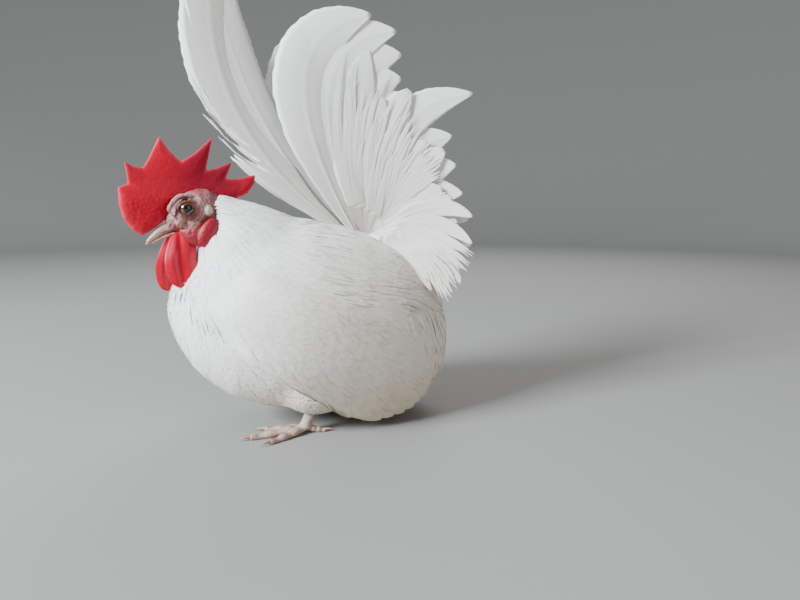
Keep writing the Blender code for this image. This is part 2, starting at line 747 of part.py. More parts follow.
def toe_line(side, heading, length, radius):
    """Points along a toe, from the ankle to the root of its claw, with its radii."""
    angle = math.radians(heading)
    ahead = Vector((side * math.sin(angle), -math.cos(angle), 0.0))
    ankle = Vector((side * FOOT_SPREAD, FOOT_PLACES[side], ANKLE_HEIGHT - 1.2))
    points, radii = [], []
    steps = 7
    for k in range(steps):
        t = k / (steps - 1)
        swell = 1.0 + 0.13 * math.cos(math.tau * 3 * t)
        size = radius * (1.12 - 0.42 * t) * swell
        height = size * 0.86 + (ANKLE_HEIGHT - 1.6 - radius) * (1 - t) ** 3
        points.append((Vector((ankle.x, ankle.y, 0)) + ahead * length * t
                       + Vector((0, 0, height))) * MM)
        radii.append(size * MM)
    return points, radii, ahead


def foot(side):
    """The short shank with its four toes, flat underneath."""
    ankle = Vector((side * FOOT_SPREAD, FOOT_PLACES[side], ANKLE_HEIGHT))
    hock = ankle + Vector((0.0, 8.0, 21.0))
    line = [ankle.lerp(hock, t) * MM for t in (-0.08, 0.2, 0.45, 0.7, 1.0)]
    whole = tube("foot_" + side_name(side), line, [r * MM for r in (3.6, 3.1, 2.9, 3.1, 3.6)],
                 8)
    toes = []
    for label, heading, length, radius in TOES:
        points, radii, _ = toe_line(side, heading, length, radius)
        toes.append(tube("toe", points, radii, 6, 0.92))
    combine(whole, toes, "UNION")
    combine(whole, [block("floor", *FLOOR)], "DIFFERENCE")
    return whole


def claw(side, label, heading, length, radius):
    """A curved claw that goes on from the toe's end and bends down to the floor."""
    points, radii, ahead = toe_line(side, heading, length, radius)
    root = points[-1]
    reach = (6.5 if label != "back" else 5.5) * MM
    size = radii[-1] * 0.72
    line, sizes = [], []
    for t in (0.0, 0.35, 0.7, 1.0):
        drop = (root.z - 0.75 * MM) * t ** 1.6
        line.append(root + ahead * (GAP + 0.1 * MM + reach * t) + Vector((0, 0, -drop)))
        sizes.append(max(size * (1 - t) ** 0.7, 0.45 * MM))
    return tube("claw_%s_%s" % (side_name(side), label), line, sizes, 6)


def build():
    """Makes every piece, cuts each clear of its neighbours and sets the bird on its origin."""
    plumage = material("plumage", (0.86, 0.86, 0.83), 0.75)
    comb_red = material("comb_skin", (0.72, 0.02, 0.03), 0.45)
    face = material("face_skin", (0.62, 0.25, 0.24), 0.55)
    horn = material("horn", (0.78, 0.62, 0.52), 0.4)
    scales = material("leg_scales", (0.75, 0.58, 0.5), 0.55)
    iris = material("eye", (0.35, 0.1, 0.03), 0.08)
    nodes = []

    def keep(thing, finish):
        thing.data.materials.clear()
        thing.data.materials.append(finish)
        nodes.append(thing)
        return thing

    torso = keep(torso_body("torso"), plumage)
    skull_piece = keep(head(), face)
    beaks = [keep(beak_half("beak_upper", BEAK_UPPER), horn),
             keep(beak_half("beak_lower", BEAK_LOWER), horn)]
    for beak in beaks:
        combine(beak, [skull("cutter", CLEARANCE)], "DIFFERENCE")
    combine(beaks[1], [swollen(beaks[0], GAP)], "DIFFERENCE")
    combine(beaks[0], [nostril(side) for side in (1, -1)], "DIFFERENCE")
    crown = keep(comb(), comb_red)
    combine(crown, [skull("cutter", CLEARANCE), swollen(beaks[0], GAP)], "DIFFERENCE")
    for side in (1, -1):
        keep(eye("eye_" + side_name(side), side), iris)
        lobe = keep(earlobe(side), comb_red)
        combine(lobe, [swollen(skull_piece, GAP), swollen(torso, GAP)], "DIFFERENCE")
        flap = keep(wattle(side), comb_red)
        combine(flap, [swollen(skull_piece, GAP), swollen(beaks[1], GAP),
                       swollen(beaks[0], GAP), swollen(torso, GAP), swollen(lobe, GAP)],
                "DIFFERENCE")
    flaps = [node for node in nodes if node.name.startswith(("wattle", "earlobe"))]
    neck = keep(neck_core("neck"), plumage)
    wings = [keep(wing(side), plumage) for side in (1, -1)]
    for piece in wings:
        combine(piece, [swollen(torso, GAP), swollen(neck, GAP)], "DIFFERENCE")
    for side, piece in zip((1, -1), wings):
        leg = keep(thigh(side), plumage)
        combine(leg, [swollen(torso, GAP), swollen(piece, GAP)], "DIFFERENCE")
        shank = keep(foot(side), scales)
        combine(shank, [swollen(leg, GAP), swollen(torso, GAP)], "DIFFERENCE")
        for toe in TOES:
            keep(claw(side, *toe), horn)
    tails = []
    for side in (1, -1):
        fan = keep(tail(side), plumage)
        blades = keep(sickles(side), plumage)
        combine(fan, [swollen(torso, GAP)], "DIFFERENCE")
        combine(blades, [swollen(torso, GAP), swollen(fan, GAP)], "DIFFERENCE")
        tails += [fan, blades]

    body = swollen(torso, GAP)
    saddle = saddle_locks(surface_of([torso, *wings]))
    combine(torso, saddle, "UNION")
    combine(torso, [swollen(thing, VANE_GAP) for thing in wings + tails], "DIFFERENCE")
    hackle = hackle_locks(surface_of([torso, neck, *wings]))
    combine(neck, hackle, "UNION")
    combine(neck, [body, swollen(skull_piece, GAP), swollen(crown, GAP)]
            + [swollen(flap, GAP) for flap in flaps]
            + [swollen(thing, VANE_GAP) for thing in wings + tails], "DIFFERENCE")

    bpy.context.view_layer.update()
    corners = [node.matrix_world @ vert.co for node in nodes for vert in node.data.vertices]
    low = [min(corner[axis] for corner in corners) for axis in range(3)]
    high = [max(corner[axis] for corner in corners) for axis in range(3)]
    bird = bpy.data.collections.new("bantam")
    bpy.context.scene.collection.children.link(bird)
    stand = bpy.data.objects.new("bantam", None)
    bird.objects.link(stand)
    stand.location = (-(low[0] + high[0]) / 2, -(low[1] + high[1]) / 2, -low[2])
    for node in nodes:
        bpy.context.scene.collection.objects.unlink(node)
        bird.objects.link(node)
        node.parent = stand
        node.data.shade_smooth()


for thing in list(bpy.data.objects):
    bpy.data.objects.remove(thing)
build()
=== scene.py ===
"""A white Japanese bantam cock as a museum model: skin, coat, tail, wings, head and feet."""
import math
import random

import bmesh
import bpy
import numpy as np
from mathutils import Matrix, Vector, noise
from mathutils.bvhtree import BVHTree


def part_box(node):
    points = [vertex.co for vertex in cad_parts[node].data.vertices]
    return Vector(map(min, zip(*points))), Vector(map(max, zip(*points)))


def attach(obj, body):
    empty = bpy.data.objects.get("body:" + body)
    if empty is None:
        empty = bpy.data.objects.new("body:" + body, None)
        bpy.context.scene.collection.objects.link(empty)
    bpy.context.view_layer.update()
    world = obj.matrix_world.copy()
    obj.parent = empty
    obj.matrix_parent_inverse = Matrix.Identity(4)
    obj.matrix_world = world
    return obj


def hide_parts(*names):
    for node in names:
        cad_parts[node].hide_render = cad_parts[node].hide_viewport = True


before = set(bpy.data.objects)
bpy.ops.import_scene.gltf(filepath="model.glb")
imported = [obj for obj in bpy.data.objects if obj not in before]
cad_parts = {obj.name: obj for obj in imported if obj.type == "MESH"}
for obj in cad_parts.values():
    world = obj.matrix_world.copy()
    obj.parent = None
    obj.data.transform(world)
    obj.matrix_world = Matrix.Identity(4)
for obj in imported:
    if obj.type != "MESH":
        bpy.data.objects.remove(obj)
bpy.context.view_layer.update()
bpy.ops.object.select_all(action="DESELECT")


# Skin of the body
# The plucked body under the coat, one skin from the head to the rump with both thighs.  Its
# outer form is where the tips of the small feathers lie; the skin itself is deeper by the coat.
MM = 0.001
EYE_IN_BIRD = Vector((12.93, -70.63, 131.3))     # the left eye, in the bird's own measures
low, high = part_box("eye_left")
ground = (low + high) / 2 - EYE_IN_BIRD * MM     # the point under the body that they start from

body_y = (-84.5, -80.0, -70.0, -52.0, -30.0, -5.0, 20.0, 45.0, 65.0, 80.0, 88.0)
body_under = (73.0, 56.0, 38.0, 22.0, 13.0, 10.0, 9.0, 8.0, 10.5, 19.0, 41.0)
body_back = (79.0, 87.0, 97.0, 112.0, 121.5, 124.0, 120.0, 112.0, 101.0, 84.0, 60.0)
body_half_width = (3.0, 17.0, 31.0, 42.5, 49.0, 51.5, 50.5, 45.5, 36.5, 23.0, 4.0)
body_squareness = 2.25
coat_depth = 7.0

neck_share = (0.0, 0.25, 0.5, 0.75, 1.0)
neck_y = (-61.0, -56.0, -48.5, -37.0, -25.0)
neck_z = (132.0, 122.0, 112.0, 99.0, 86.0)
neck_radius = (10.5, 17.5, 26.5, 35.5, 40.0)
neck_lean = 5.0                                  # its top leans to the left, under the head
neck_rise = Vector((0.0, 0.62, 0.78))            # the way from its core to its back

thigh_out, thigh_height = 27.0, 33.0             # middle of a thigh
thigh_half_sizes = (19.0, 25.0, 22.0)
thigh_along = ((1, -3.0), (-1, 27.0))            # the left leg stands further forward
form_grain = 2.5                                 # voxel that makes the parts one form


def read(place, places, values):
    """Reads a table at a place between its columns."""
    return float(np.interp(place, places, values))


def way_round(unit):
    """Of a unit ball's point: its share from pole to pole, cosine and sine, and 0 at a pole."""
    angle = math.atan2(unit.y, unit.x)
    return (1 - unit.z) / 2, math.cos(angle), math.sin(angle), float(abs(unit.z) <= 0.9999)


def shaped_ball(segments, rings, move):
    """A ball, each of whose points is moved to move(its unit place), given in millimetres."""
    bpy.ops.mesh.primitive_uv_sphere_add(segments=segments, ring_count=rings, radius=1.0)
    ball = bpy.context.object
    for vert in ball.data.vertices:
        vert.co = ground + Vector(move(vert.co)) * MM
    ball.matrix_world = Matrix()
    return ball


def join_parts(name, parts):
    """Makes one object of several, under a new name."""
    bpy.ops.object.select_all(action="DESELECT")
    for part in parts:
        part.select_set(True)
    bpy.context.view_layer.objects.active = parts[0]
    bpy.ops.object.join()
    parts[0].name = name
    return parts[0]


def work(thing, kind, **settings):
    """Gives a piece a modifier with its settings and applies it."""
    bpy.context.view_layer.objects.active = thing
    bpy.ops.object.modifier_add(type=kind)
    for label, value in settings.items():
        setattr(thing.modifiers[-1], label, value)
    bpy.ops.object.modifier_apply(modifier=thing.modifiers[-1].name)


def dress(piece, finish, slot, *stands_for):
    """Gives a smooth piece its finish and hides the solids that it stands for; slot is not used."""
    piece.data.materials.clear()
    piece.data.materials.append(finish)
    piece.data.shade_smooth()
    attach(piece, "root")
    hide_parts(*stands_for)


def body_place(unit):
    _, c, s, reach = way_round(unit)
    y = (body_y[0] + body_y[-1]) / 2 - (body_y[-1] - body_y[0]) / 2 * unit.z
    under, back = read(y, body_y, body_under), read(y, body_y, body_back)
    half_width = read(y, body_y, body_half_width)
    round_off = 2 / body_squareness
    return (reach * half_width * math.copysign(abs(c) ** round_off, c), y,
            (under + back) / 2 + reach * (back - under) / 2 * math.copysign(abs(s) ** round_off, s))


def neck_place(unit):
    share, c, s, reach = way_round(unit)
    radius = read(share, neck_share, neck_radius) * reach
    centre = Vector((neck_lean * (1 - share), read(share, neck_share, neck_y),
                     read(share, neck_share, neck_z)))
    return centre + radius * (c * Vector((1, 0, 0)) + s * neck_rise)


flesh = [shaped_ball(48, 34, body_place), shaped_ball(32, 18, neck_place)]
for side, thigh_y in thigh_along:
    middle = Vector((side * thigh_out, thigh_y, thigh_height))
    flesh.append(shaped_ball(24, 14, lambda unit: middle + Vector(
        [size * part for size, part in zip(thigh_half_sizes, unit)])))
outer_form = join_parts("body_skin", flesh)
work(outer_form, "REMESH", mode="VOXEL", voxel_size=form_grain * MM)
work(outer_form, "SMOOTH", iterations=10)


def set_inputs(node, **inputs):
    """Sets a shader node's inputs to numbers or colours, or links other nodes' sockets there."""
    for label, value in inputs.items():
        socket = node.inputs[label.replace("_", " ")]
        if isinstance(value, bpy.types.NodeSocket):
            node.id_data.links.new(value, socket)
        else:
            socket.default_value = value
    return node


def add_node(tree, kind, **inputs):
    return set_inputs(tree.nodes.new("ShaderNode" + kind), **inputs)


def maths(kind, first, second=None, clamp=False):
    """One math node; either side may be a number or a socket."""
    tree = (second if isinstance(first, (int, float)) else first).id_data
    node = tree.nodes.new("ShaderNodeMath")
    node.operation = kind
    node.use_clamp = clamp
    for socket, value in zip(node.inputs, (first, second)):
        if isinstance(value, (int, float)):
            socket.default_value = value
        elif value is not None:
            tree.links.new(value, socket)
    return node.outputs[0]


def noise_at(where, scale, detail=2.0):
    """A soft random pattern over the places that a socket gives."""
    node = add_node(where.id_data, "TexNoise", Vector=where, Scale=scale, Detail=detail)
    return node.outputs["Fac"]


def stored(tree, label):
    """What a piece's own attribute says at each point."""
    node = tree.nodes.new("ShaderNodeAttribute")
    node.attribute_name = label
    return node.outputs["Fac"]


def laid_over(amount, below, above):
    """One colour laid over another by an amount that a socket gives."""
    node = amount.id_data.nodes.new("ShaderNodeMix")
    node.data_type = "RGBA"
    return set_inputs(node, Factor=amount, A=below, B=above).outputs["Result"]


def ramp_of(amount, *stops):
    """Colours along a ramp; each stop is a place and a colour."""
    node = add_node(amount.id_data, "ValToRGB", Fac=amount)
    points = node.color_ramp.elements
    for k, (place, colour) in enumerate(stops):
        point = points[k] if k < 2 else points.new(place)
        point.position, point.color = place, (*colour, 1)
    return node.outputs["Color"]


def raise_grain(shader, height, distance, strength=1.0):
    """Raises a pattern on the surface by up to a distance in metres."""
    bump = add_node(shader.id_data, "Bump", Height=height, Distance=distance, Strength=strength)
    set_inputs(shader, Normal=bump.outputs["Normal"])


def new_group(name, given, made):
    """A group of shader nodes with its named inputs and outputs."""
    group = bpy.data.node_groups.new(name, "ShaderNodeTree")
    for way, sockets in (("INPUT", given), ("OUTPUT", made)):
        for label, kind in sockets:
            group.interface.new_socket(label, in_out=way, socket_type="NodeSocket" + kind)
    return group, group.nodes.new("NodeGroupInput"), group.nodes.new("NodeGroupOutput")


def new_finish(name, **inputs):
    """A new material, its node tree, and its shader with the inputs that are given."""
    finish = bpy.data.materials.new(name)
    finish.use_nodes = True
    shader = set_inputs(finish.node_tree.nodes["Principled BSDF"], **inputs)
    return finish, finish.node_tree, shader


# The group reads the feather's own map: u across it, v from root to tip, and its own tint.
vane_group, given, out = new_group("feather vane", (("Barb scale", "Float"), ("Slant", "Float"),
                                                    ("White", "Color"), ("Shade", "Color")),
                                   (("Colour", "Color"), ("Barbs", "Float")))
own_map = add_node(vane_group, "UVMap")
own_map.uv_map = "Vane"
across, along = add_node(vane_group, "SeparateXYZ", Vector=own_map.outputs["UV"]).outputs[:2]
off_shaft = maths("ABSOLUTE", maths("SUBTRACT", across, 0.5))
slant = maths("SUBTRACT", along, maths("MULTIPLY", off_shaft, given.outputs["Slant"]))
weave = add_node(vane_group, "CombineXYZ", X=maths("MULTIPLY", slant, given.outputs["Barb scale"]),
                 Y=maths("MULTIPLY", off_shaft, 3.0))
streak = noise_at(weave.outputs[0], 1.0)
# Painted shade: each feather darkens from tip to root towards its Shade colour, standing in for the
# shade under the feathers that lie over it.
fade_from_painted_root_shade = maths("MULTIPLY", maths("MULTIPLY", along, 1.6, True), 0.55)
amount = maths("ADD", fade_from_painted_root_shade, maths("MULTIPLY", stored(vane_group, "tint"), 0.45))
amount = maths("ADD", amount, maths("MULTIPLY", maths("SUBTRACT", streak, 0.5), 0.5), True)
feather_tone = laid_over(amount, given.outputs["Shade"], given.outputs["White"])
# The coat is warmer and darker towards the rump, partly a dust tint and partly painted shade, and
# dusty low down, where it brushes the litter.
where = add_node(vane_group, "TexCoord").outputs["Object"]
_, along_bird, up = add_node(vane_group, "SeparateXYZ", Vector=where).outputs
shares = []
for axis, start, end in ((along_bird, ground.y - 0.06, ground.y + 0.02),
                         (up, ground.z + 0.2, ground.z + 0.05),
                         (up, ground.z + 0.055, ground.z + 0.012)):
    share = add_node(vane_group, "MapRange", Value=axis, From_Min=start, From_Max=end)
    share.interpolation_type = "SMOOTHSTEP"
    shares.append(share.outputs[0])
rear, low_down = maths("MULTIPLY", shares[0], shares[1]), shares[2]
dust = maths("MULTIPLY", low_down, noise_at(where, 55.0))
# A warm tint over the rump, partly painted shade and partly dust, and dust stains low down.
dust_and_rear_shade = maths("ADD", maths("MULTIPLY", rear, 0.42), maths("MULTIPLY", dust, 0.95), True)
set_inputs(out, Colour=laid_over(dust_and_rear_shade, feather_tone, (0.64, 0.55, 0.42, 1)), Barbs=streak)


def plumage_finish(name, white, shade, barb_scale, slant, barb_height, roughness=0.62):
    """Feather white, paler at the rim and greyer at the root with painted shade, with barbs that
    slant off the shaft.
    """
    finish, tree, shader = new_finish(name, Roughness=roughness, Sheen_Weight=0.25,
                                      Specular_IOR_Level=0.35)
    vane = tree.nodes.new("ShaderNodeGroup")
    vane.node_tree = vane_group
    set_inputs(vane, Barb_scale=barb_scale, Slant=slant, White=(*white, 1), Shade=(*shade, 1))
    set_inputs(shader, Base_Color=vane.outputs["Colour"])
    raise_grain(shader, vane.outputs["Barbs"], barb_height, 0.42)
    return finish


# The second colour of each plumage is the painted shade that its feathers darken to at the root.
body_white = plumage_finish("body_plumage", (0.93, 0.92, 0.9), (0.83, 0.81, 0.78), 16.0, 1.1,
                            0.00015)
hackle_white = plumage_finish("hackle_plumage", (0.94, 0.945, 0.95), (0.7, 0.7, 0.69), 10.0,
                              0.5, 0.0002)

skin_finish, tree, shader = new_finish("down", Roughness=0.9)
fluff = noise_at(add_node(tree, "TexCoord").outputs["Object"], 350.0)
set_inputs(shader, Base_Color=ramp_of(fluff, (0.0, (0.68, 0.66, 0.63)), (1.0, (0.84, 0.82, 0.79))))

form_tree = BVHTree.FromPolygons([vert.co.copy() for vert in outer_form.data.vertices],
                                 [tuple(face.vertices) for face in outer_form.data.polygons])
form_spots = [(face.center.copy(), face.normal.copy()) for face in outer_form.data.polygons]
work(outer_form, "DISPLACE", strength=-coat_depth * MM, mid_level=0.0)
dress(outer_form, skin_finish, "plumage", "torso", "neck", "thigh_left", "thigh_right")


# Small body feathers
# The white feathers of breast, back, belly and thighs.  Each is a closed vane with a raised
# shaft that starts on the skin and lies along the form, its tip over the roots of those behind.
feather_outline = (0.5, 0.95, 1.0, 0.75, 0.15)
breast_turn = (-22.0, -64.0)     # along the bird, where the lie turns from back to down
shoulder_rise = (88.0, 113.0)    # heights over which the coat spreads out over the back
step_off = 2.0                   # how far off the surface a feather's next station is looked for
baking_patch = 0.003             # size of one feather's patch of the baking map
root_jitter = 1.4
size_range = (0.85, 1.15)
HEAD_PLACE = Vector((6.0, -71.6, 131.3))         # between the eyes
head_turn = Matrix.Rotation(math.radians(8.0), 3, "Z")
draw = random.Random(7)          # both are seeded, so that every run grows the same coat
noise.seed_set(7)


def bird_place(spot):
    """A point of the frame in the bird's own millimetres."""
    return (spot - ground) / MM


def smooth_step(start, end, value):
    share = min(max((value - start) / (end - start), 0.0), 1.0)
    return share * share * (3 - 2 * share)


def lie_of_coat(spot, normal):
    """The way that a feather points at a place of the body."""
    x, y, z = bird_place(spot)
    front = smooth_step(*breast_turn, y) * (1 - 0.6 * smooth_step(102.0, 120.0, z))
    high = smooth_step(*shoulder_rise, z)
    outward = math.copysign(1.0, x) * min(abs(x) / 12.0, 1.0)
    back = Vector((0.28 * outward * high, 1.0, -0.22 - 0.25 * high))
    fall = Vector((0.18 * outward, 0.55, -1.0))
    swirl = noise.noise_vector(Vector((x, y, z)) * 0.04) * 0.2
    way = back.lerp(fall, front).normalized() + swirl
    return (way - normal * way.dot(normal)).normalized()


def trace(tree, spot, heading, length, heights):
    """Walks along a surface from spot and gives the middle, normal and across of each station."""
    found, normal = tree.find_nearest(spot)[:2]
    heading = (heading - normal * heading.dot(normal)).normalized()
    stride = length / (len(heights) - 1)
    line = []
    for k, height in enumerate(heights):
        if k:
            ahead = found + normal * step_off * MM + heading * stride
            after, normal = tree.find_nearest(ahead)[:2]
            heading = after - found
            heading = (heading - normal * heading.dot(normal)).normalized()
            found = after
        line.append((found + normal * height * MM, normal, normal.cross(heading)))
    return line


def store(mesh, label, values):
    """Stores a number at each point of a mesh, for its finish to read."""
    mesh.attributes.new(label, "FLOAT", "POINT").data.foreach_set("value", values)


def corner_points(mesh):
    """The point that each corner of a mesh's faces stands on."""
    points = np.empty(len(mesh.loops), np.int32)
    mesh.loops.foreach_get("vertex_index", points)
    return points


def lay_map(mesh, name, places):
    """Adds a map to a mesh, with a place on it for each corner of its faces."""
    mesh.uv_layers.new(name=name).data.foreach_set("uv", places.ravel())


def new_object(name, mesh):
    piece = bpy.data.objects.new(name, mesh)
    bpy.context.scene.collection.objects.link(piece)
    return piece


def unwrap_place(spot):
    """Where a feather's root lies on the skin unrolled round the bird's length."""
    x, y, z = bird_place(spot)
    return (0.5 + math.atan2(x, z - 62.0) / math.tau) * 0.98 + 0.01, (y + 100.0) / 240.0 * 0.98


def closed_vanes(name, lines, half_widths, outline, ridge, finish):
    """Joins many small feathers in one mesh: a left rim, a raised shaft and a right rim each."""
    count, rows = len(lines), len(outline)
    middle, normal, across = (np.array([[station[k] for station in line] for line in lines])
                              for k in range(3))
    reach = np.outer(np.array(half_widths), np.array(outline))[..., None] * MM
    points = np.stack([middle - across * reach, middle + normal * reach * ridge,
                       middle + across * reach], axis=2)
    corner = np.arange(count * rows * 3).reshape(count, rows, 3)
    quads = []
    for a, b in ((0, 1), (1, 2), (2, 0)):
        quads.append(np.stack([corner[:, :-1, a], corner[:, 1:, a], corner[:, 1:, b],
                               corner[:, :-1, b]], axis=-1).reshape(-1, 4))
    ends = np.concatenate([corner[:, 0, :], corner[:, -1, ::-1]])
    mesh = bpy.data.meshes.new(name)
    mesh.from_pydata(points.reshape(-1, 3).tolist(), [],
                     np.concatenate(quads).tolist() + ends.tolist())
    used = corner_points(mesh)
    feather, row, edge = used // (rows * 3), (used // 3) % rows, used % 3
    own_place = np.stack([edge / 2, row / (rows - 1)], axis=-1)
    lay_map(mesh, "Vane", own_place)
    roots = np.array([unwrap_place(line[0][0]) for line in lines])
    lay_map(mesh, "OFBake", roots[feather] + baking_patch * (own_place - 0.5))
    store(mesh, "tint", np.repeat([draw.random() for _ in lines], rows * 3))
    mesh.materials.append(finish)
    piece = new_object(name, mesh)
    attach(piece, "root")


face_back = 14.3                 # where the bare face ends behind the eyes
lobe_foot, throat = -10.0, -20.0                 # heights from which it narrows and ends below
face_ball, skull_ball = 31.0, 17.0               # no feather grows in these balls of the head


def clear_of_head(place):
    """1 away from the face and 0 on it, its ear lobes and throat, so that none is covered."""
    local = head_turn.transposed() @ (place - HEAD_PLACE)
    border = face_back + 1.25 * min(local.z - lobe_foot, 0.0) - 1.5 * smooth_step(5.0, 9.0, local.z)
    on_face = local.y < border and local.z > throat and local.length < face_ball
    return 0.0 if on_face or local.length < skull_ball else 1.0


def near_head(place):
    """1 at the edge of the face, falling to 0 over the neck."""
    return smooth_step(46.0, 26.0, (place - HEAD_PLACE).length)


wattle_press, press_radius = 3.2, 11.0
wattle_spots = (Vector((15.0, -76.0, 94.0)), Vector((-4.0, -76.0, 94.0)))


def pressed(place):
    """How deep the hanging wattles press the breast's coat, in millimetres."""
    return wattle_press * sum(math.exp(-((place - spot).length / press_radius) ** 2)
                              for spot in wattle_spots)


def feather_lines(tree, spots, lie, share, keep, length, heights, spread):
    """Feather lines from many places of a surface: share of them to a place that keep() takes."""
    lines = []
    for spot, normal in spots:
        place = bird_place(spot)
        amount = share * keep(place)
        while amount > draw.random():
            amount -= 1.0
            jitter = Vector([draw.uniform(-root_jitter, root_jitter) * MM for _ in range(3)])
            size = length(place) * draw.uniform(*size_range)
            lift = draw.uniform(-spread, spread)
            way = lie(spot, normal)
            root = spot + jitter - way * size * 0.5 * MM
            if clear_of_head(bird_place(root)) == 0:
                root, size = spot + jitter, size * 0.6
            depth = pressed(place)
            lines.append(trace(tree, root, way, size * MM,
                               [height - depth + lift * min(k / 2, 1.0)
                                for k, height in enumerate(heights)]))
    return lines


share_under_wing = 0.12          # few feathers grow where the folded wing would hide them
breast_end = -8.0                # along the bird, where breast gives way to back and belly
keel_height, belly_height = 20.0, 38.0           # tops of the belly's coat before and behind it


def bare_of_wing(place):
    under = abs(place.x) > 34.0 and -20.0 < place.y < 54.0 and 20.0 < place.z < 78.0
    return share_under_wing if under else 1.0


def on_breast(place):
    here = place.y < breast_end and place.z > keel_height
    return clear_of_head(place) * bare_of_wing(place) * here * (1 + 0.8 * near_head(place))


def on_back(place):
    here = place.y >= breast_end and place.z > belly_height
    return clear_of_head(place) * bare_of_wing(place) * here


def on_belly(place):
    behind = place.z <= belly_height and place.y >= breast_end
    return float(behind or place.z <= keel_height)


def coat_length(place):
    return 23.0 + 6.0 * smooth_step(30.0, 70.0, place.y)


coat_heights = (-coat_depth - 0.5, -coat_depth * 0.45, -1.2, -0.2, 0.1)
for name, keep, share, half_width in (("breast_feathers", on_breast, 1.35, 2.6),
                                      ("back_feathers", on_back, 1.6, 2.35),
                                      ("belly_feathers", on_belly, 1.8, 2.1)):
    lines = feather_lines(form_tree, form_spots, lie_of_coat, share, keep, coat_length,
                          coat_heights, 0.2)
    widths = [half_width * draw.uniform(0.75, 1.25) for _ in lines]
    closed_vanes(name, lines, widths, feather_outline, 0.1, body_white)


# Hackle and saddle
# Long narrow pointed feathers: the hackle falls from the nape and throat over the shoulders and
# breast, the saddle from the back over both sides of the rump.  They are laid over the coat.
pointed_outline = (0.5, 0.95, 1.0, 0.8, 0.45, 0.06)
hackle_heights = (-4.0, -0.9, 0.3, 0.9, 1.2, 1.2)
saddle_heights = (-4.0, -1.3, -0.1, 0.4, 0.7, 0.7)
hackle_middle = Vector((0.0, -34.0, 98.0))          # it covers the ball round this place
hackle_ball = 64.0
saddle_end = 76.0                                # along the bird


def on_neck(place):
    high = smooth_step(78.0, 100.0, place.z + 0.25 * (place.y + 60.0))
    near = smooth_step(4.0, -30.0, place.y) * ((hackle_middle - place).length < hackle_ball)
    return clear_of_head(place) * high * near * (1 + 0.9 * near_head(place))


def on_saddle(place):
    near = smooth_step(-34.0, 4.0, place.y) * smooth_step(70.0, 96.0, place.z)
    return near if place.y < saddle_end else 0.0


hackle_lines = feather_lines(form_tree, form_spots, lie_of_coat, 3.0, on_neck,
                             lambda place: 25.0 + 0.5 * (132.0 - place.z),
                             hackle_heights, 0.6)
for name, first in (("hackle_over", 0), ("hackle_under", 1)):
    lines = hackle_lines[first::2]
    closed_vanes(name, lines, [draw.uniform(1.2, 2.5) for _ in lines], pointed_outline, 0.2,
                 hackle_white)
saddle_lines = feather_lines(form_tree, form_spots, lie_of_coat, 1.9, on_saddle,
                             lambda place: draw.uniform(26.0, 42.0),
                             saddle_heights, 0.45)
closed_vanes("saddle", saddle_lines, [draw.uniform(1.3, 2.2) for _ in saddle_lines],
             pointed_outline, 0.18, hackle_white)


# The long loose down of the vent and thighs hangs below them, between the wing tips.
down_heights = (-3.0, -0.6, 0.4, 0.9, 1.2, 1.3)


def on_vent(place):
    low = smooth_step(70.0, 52.0, place.z) * smooth_step(8.0, 24.0, place.z)
    return low * smooth_step(34.0, 52.0, place.y)


def fall_of_down(spot, normal):
    swirl = noise.noise_vector(bird_place(spot) * 0.09) * 0.35
    way = Vector((0.0, 0.35, -1.0)) + swirl
    return (way - normal * way.dot(normal)).normalized()


down_lines = feather_lines(form_tree, form_spots, fall_of_down, 1.6, on_vent,
                           lambda place: draw.uniform(16.0, 28.0),
                           down_heights, 0.7)
closed_vanes("vent_down", down_lines, [draw.uniform(1.3, 2.3) for _ in down_lines],
             pointed_outline, 0.15, body_white)


# Tail
# The squirrel tail that names the breed: main feathers fan out of the rump in two leaning
# halves, coverts lie over their roots, and the long sickles stand in front, almost to the comb.
TAIL_HUB = (40.0, 106.0)
TAIL_INSET = 5.0
fan_front = 110.0                # degrees up from the rear at which the fan begins
least_lean, more_lean = 3.0, 24.0                # lean of a half there, and how much it grows


def over_tail(y, z, height, side):
    """A point of the tented tail, which leans outwards the further it turns back."""
    turn = math.degrees(math.atan2(z - TAIL_HUB[1], y - TAIL_HUB[0]))
    turn = min(max(turn, 0.0), fan_front)
    lean = math.radians(least_lean + more_lean * ((fan_front - turn) / fan_front) ** 1.3)
    reach = math.hypot(y - TAIL_HUB[0], z - TAIL_HUB[1])
    return ground + Vector((side * (TAIL_INSET + reach * math.tan(lean) + height), y, z)) * MM


def bend(root, control, tip, t):
    root, control, tip = Vector(root), Vector(control), Vector(tip)
    return (root * (1 - t) ** 2 + control * 2 * t * (1 - t) + tip * t ** 2,
            ((control - root) * (1 - t) + (tip - control) * t).normalized())


slit_depth = 0.24               # share of the width by which the barb above a slit is drawn in
height_places = (0.0, 0.28, 1.0)                 # where along a feather its heights are given
cupping = 0.008                  # how much a broad feather bends down to its rims
rim_ripple = 0.02
shaft_height, shaft_half = 0.4, 0.05             # the raised shaft, at its root, and its share
vane_columns = (-1.0, -0.82, -0.62, -0.42, -0.22, -0.07, 0.0, 0.07, 0.22, 0.42, 0.62, 0.82, 1.0)


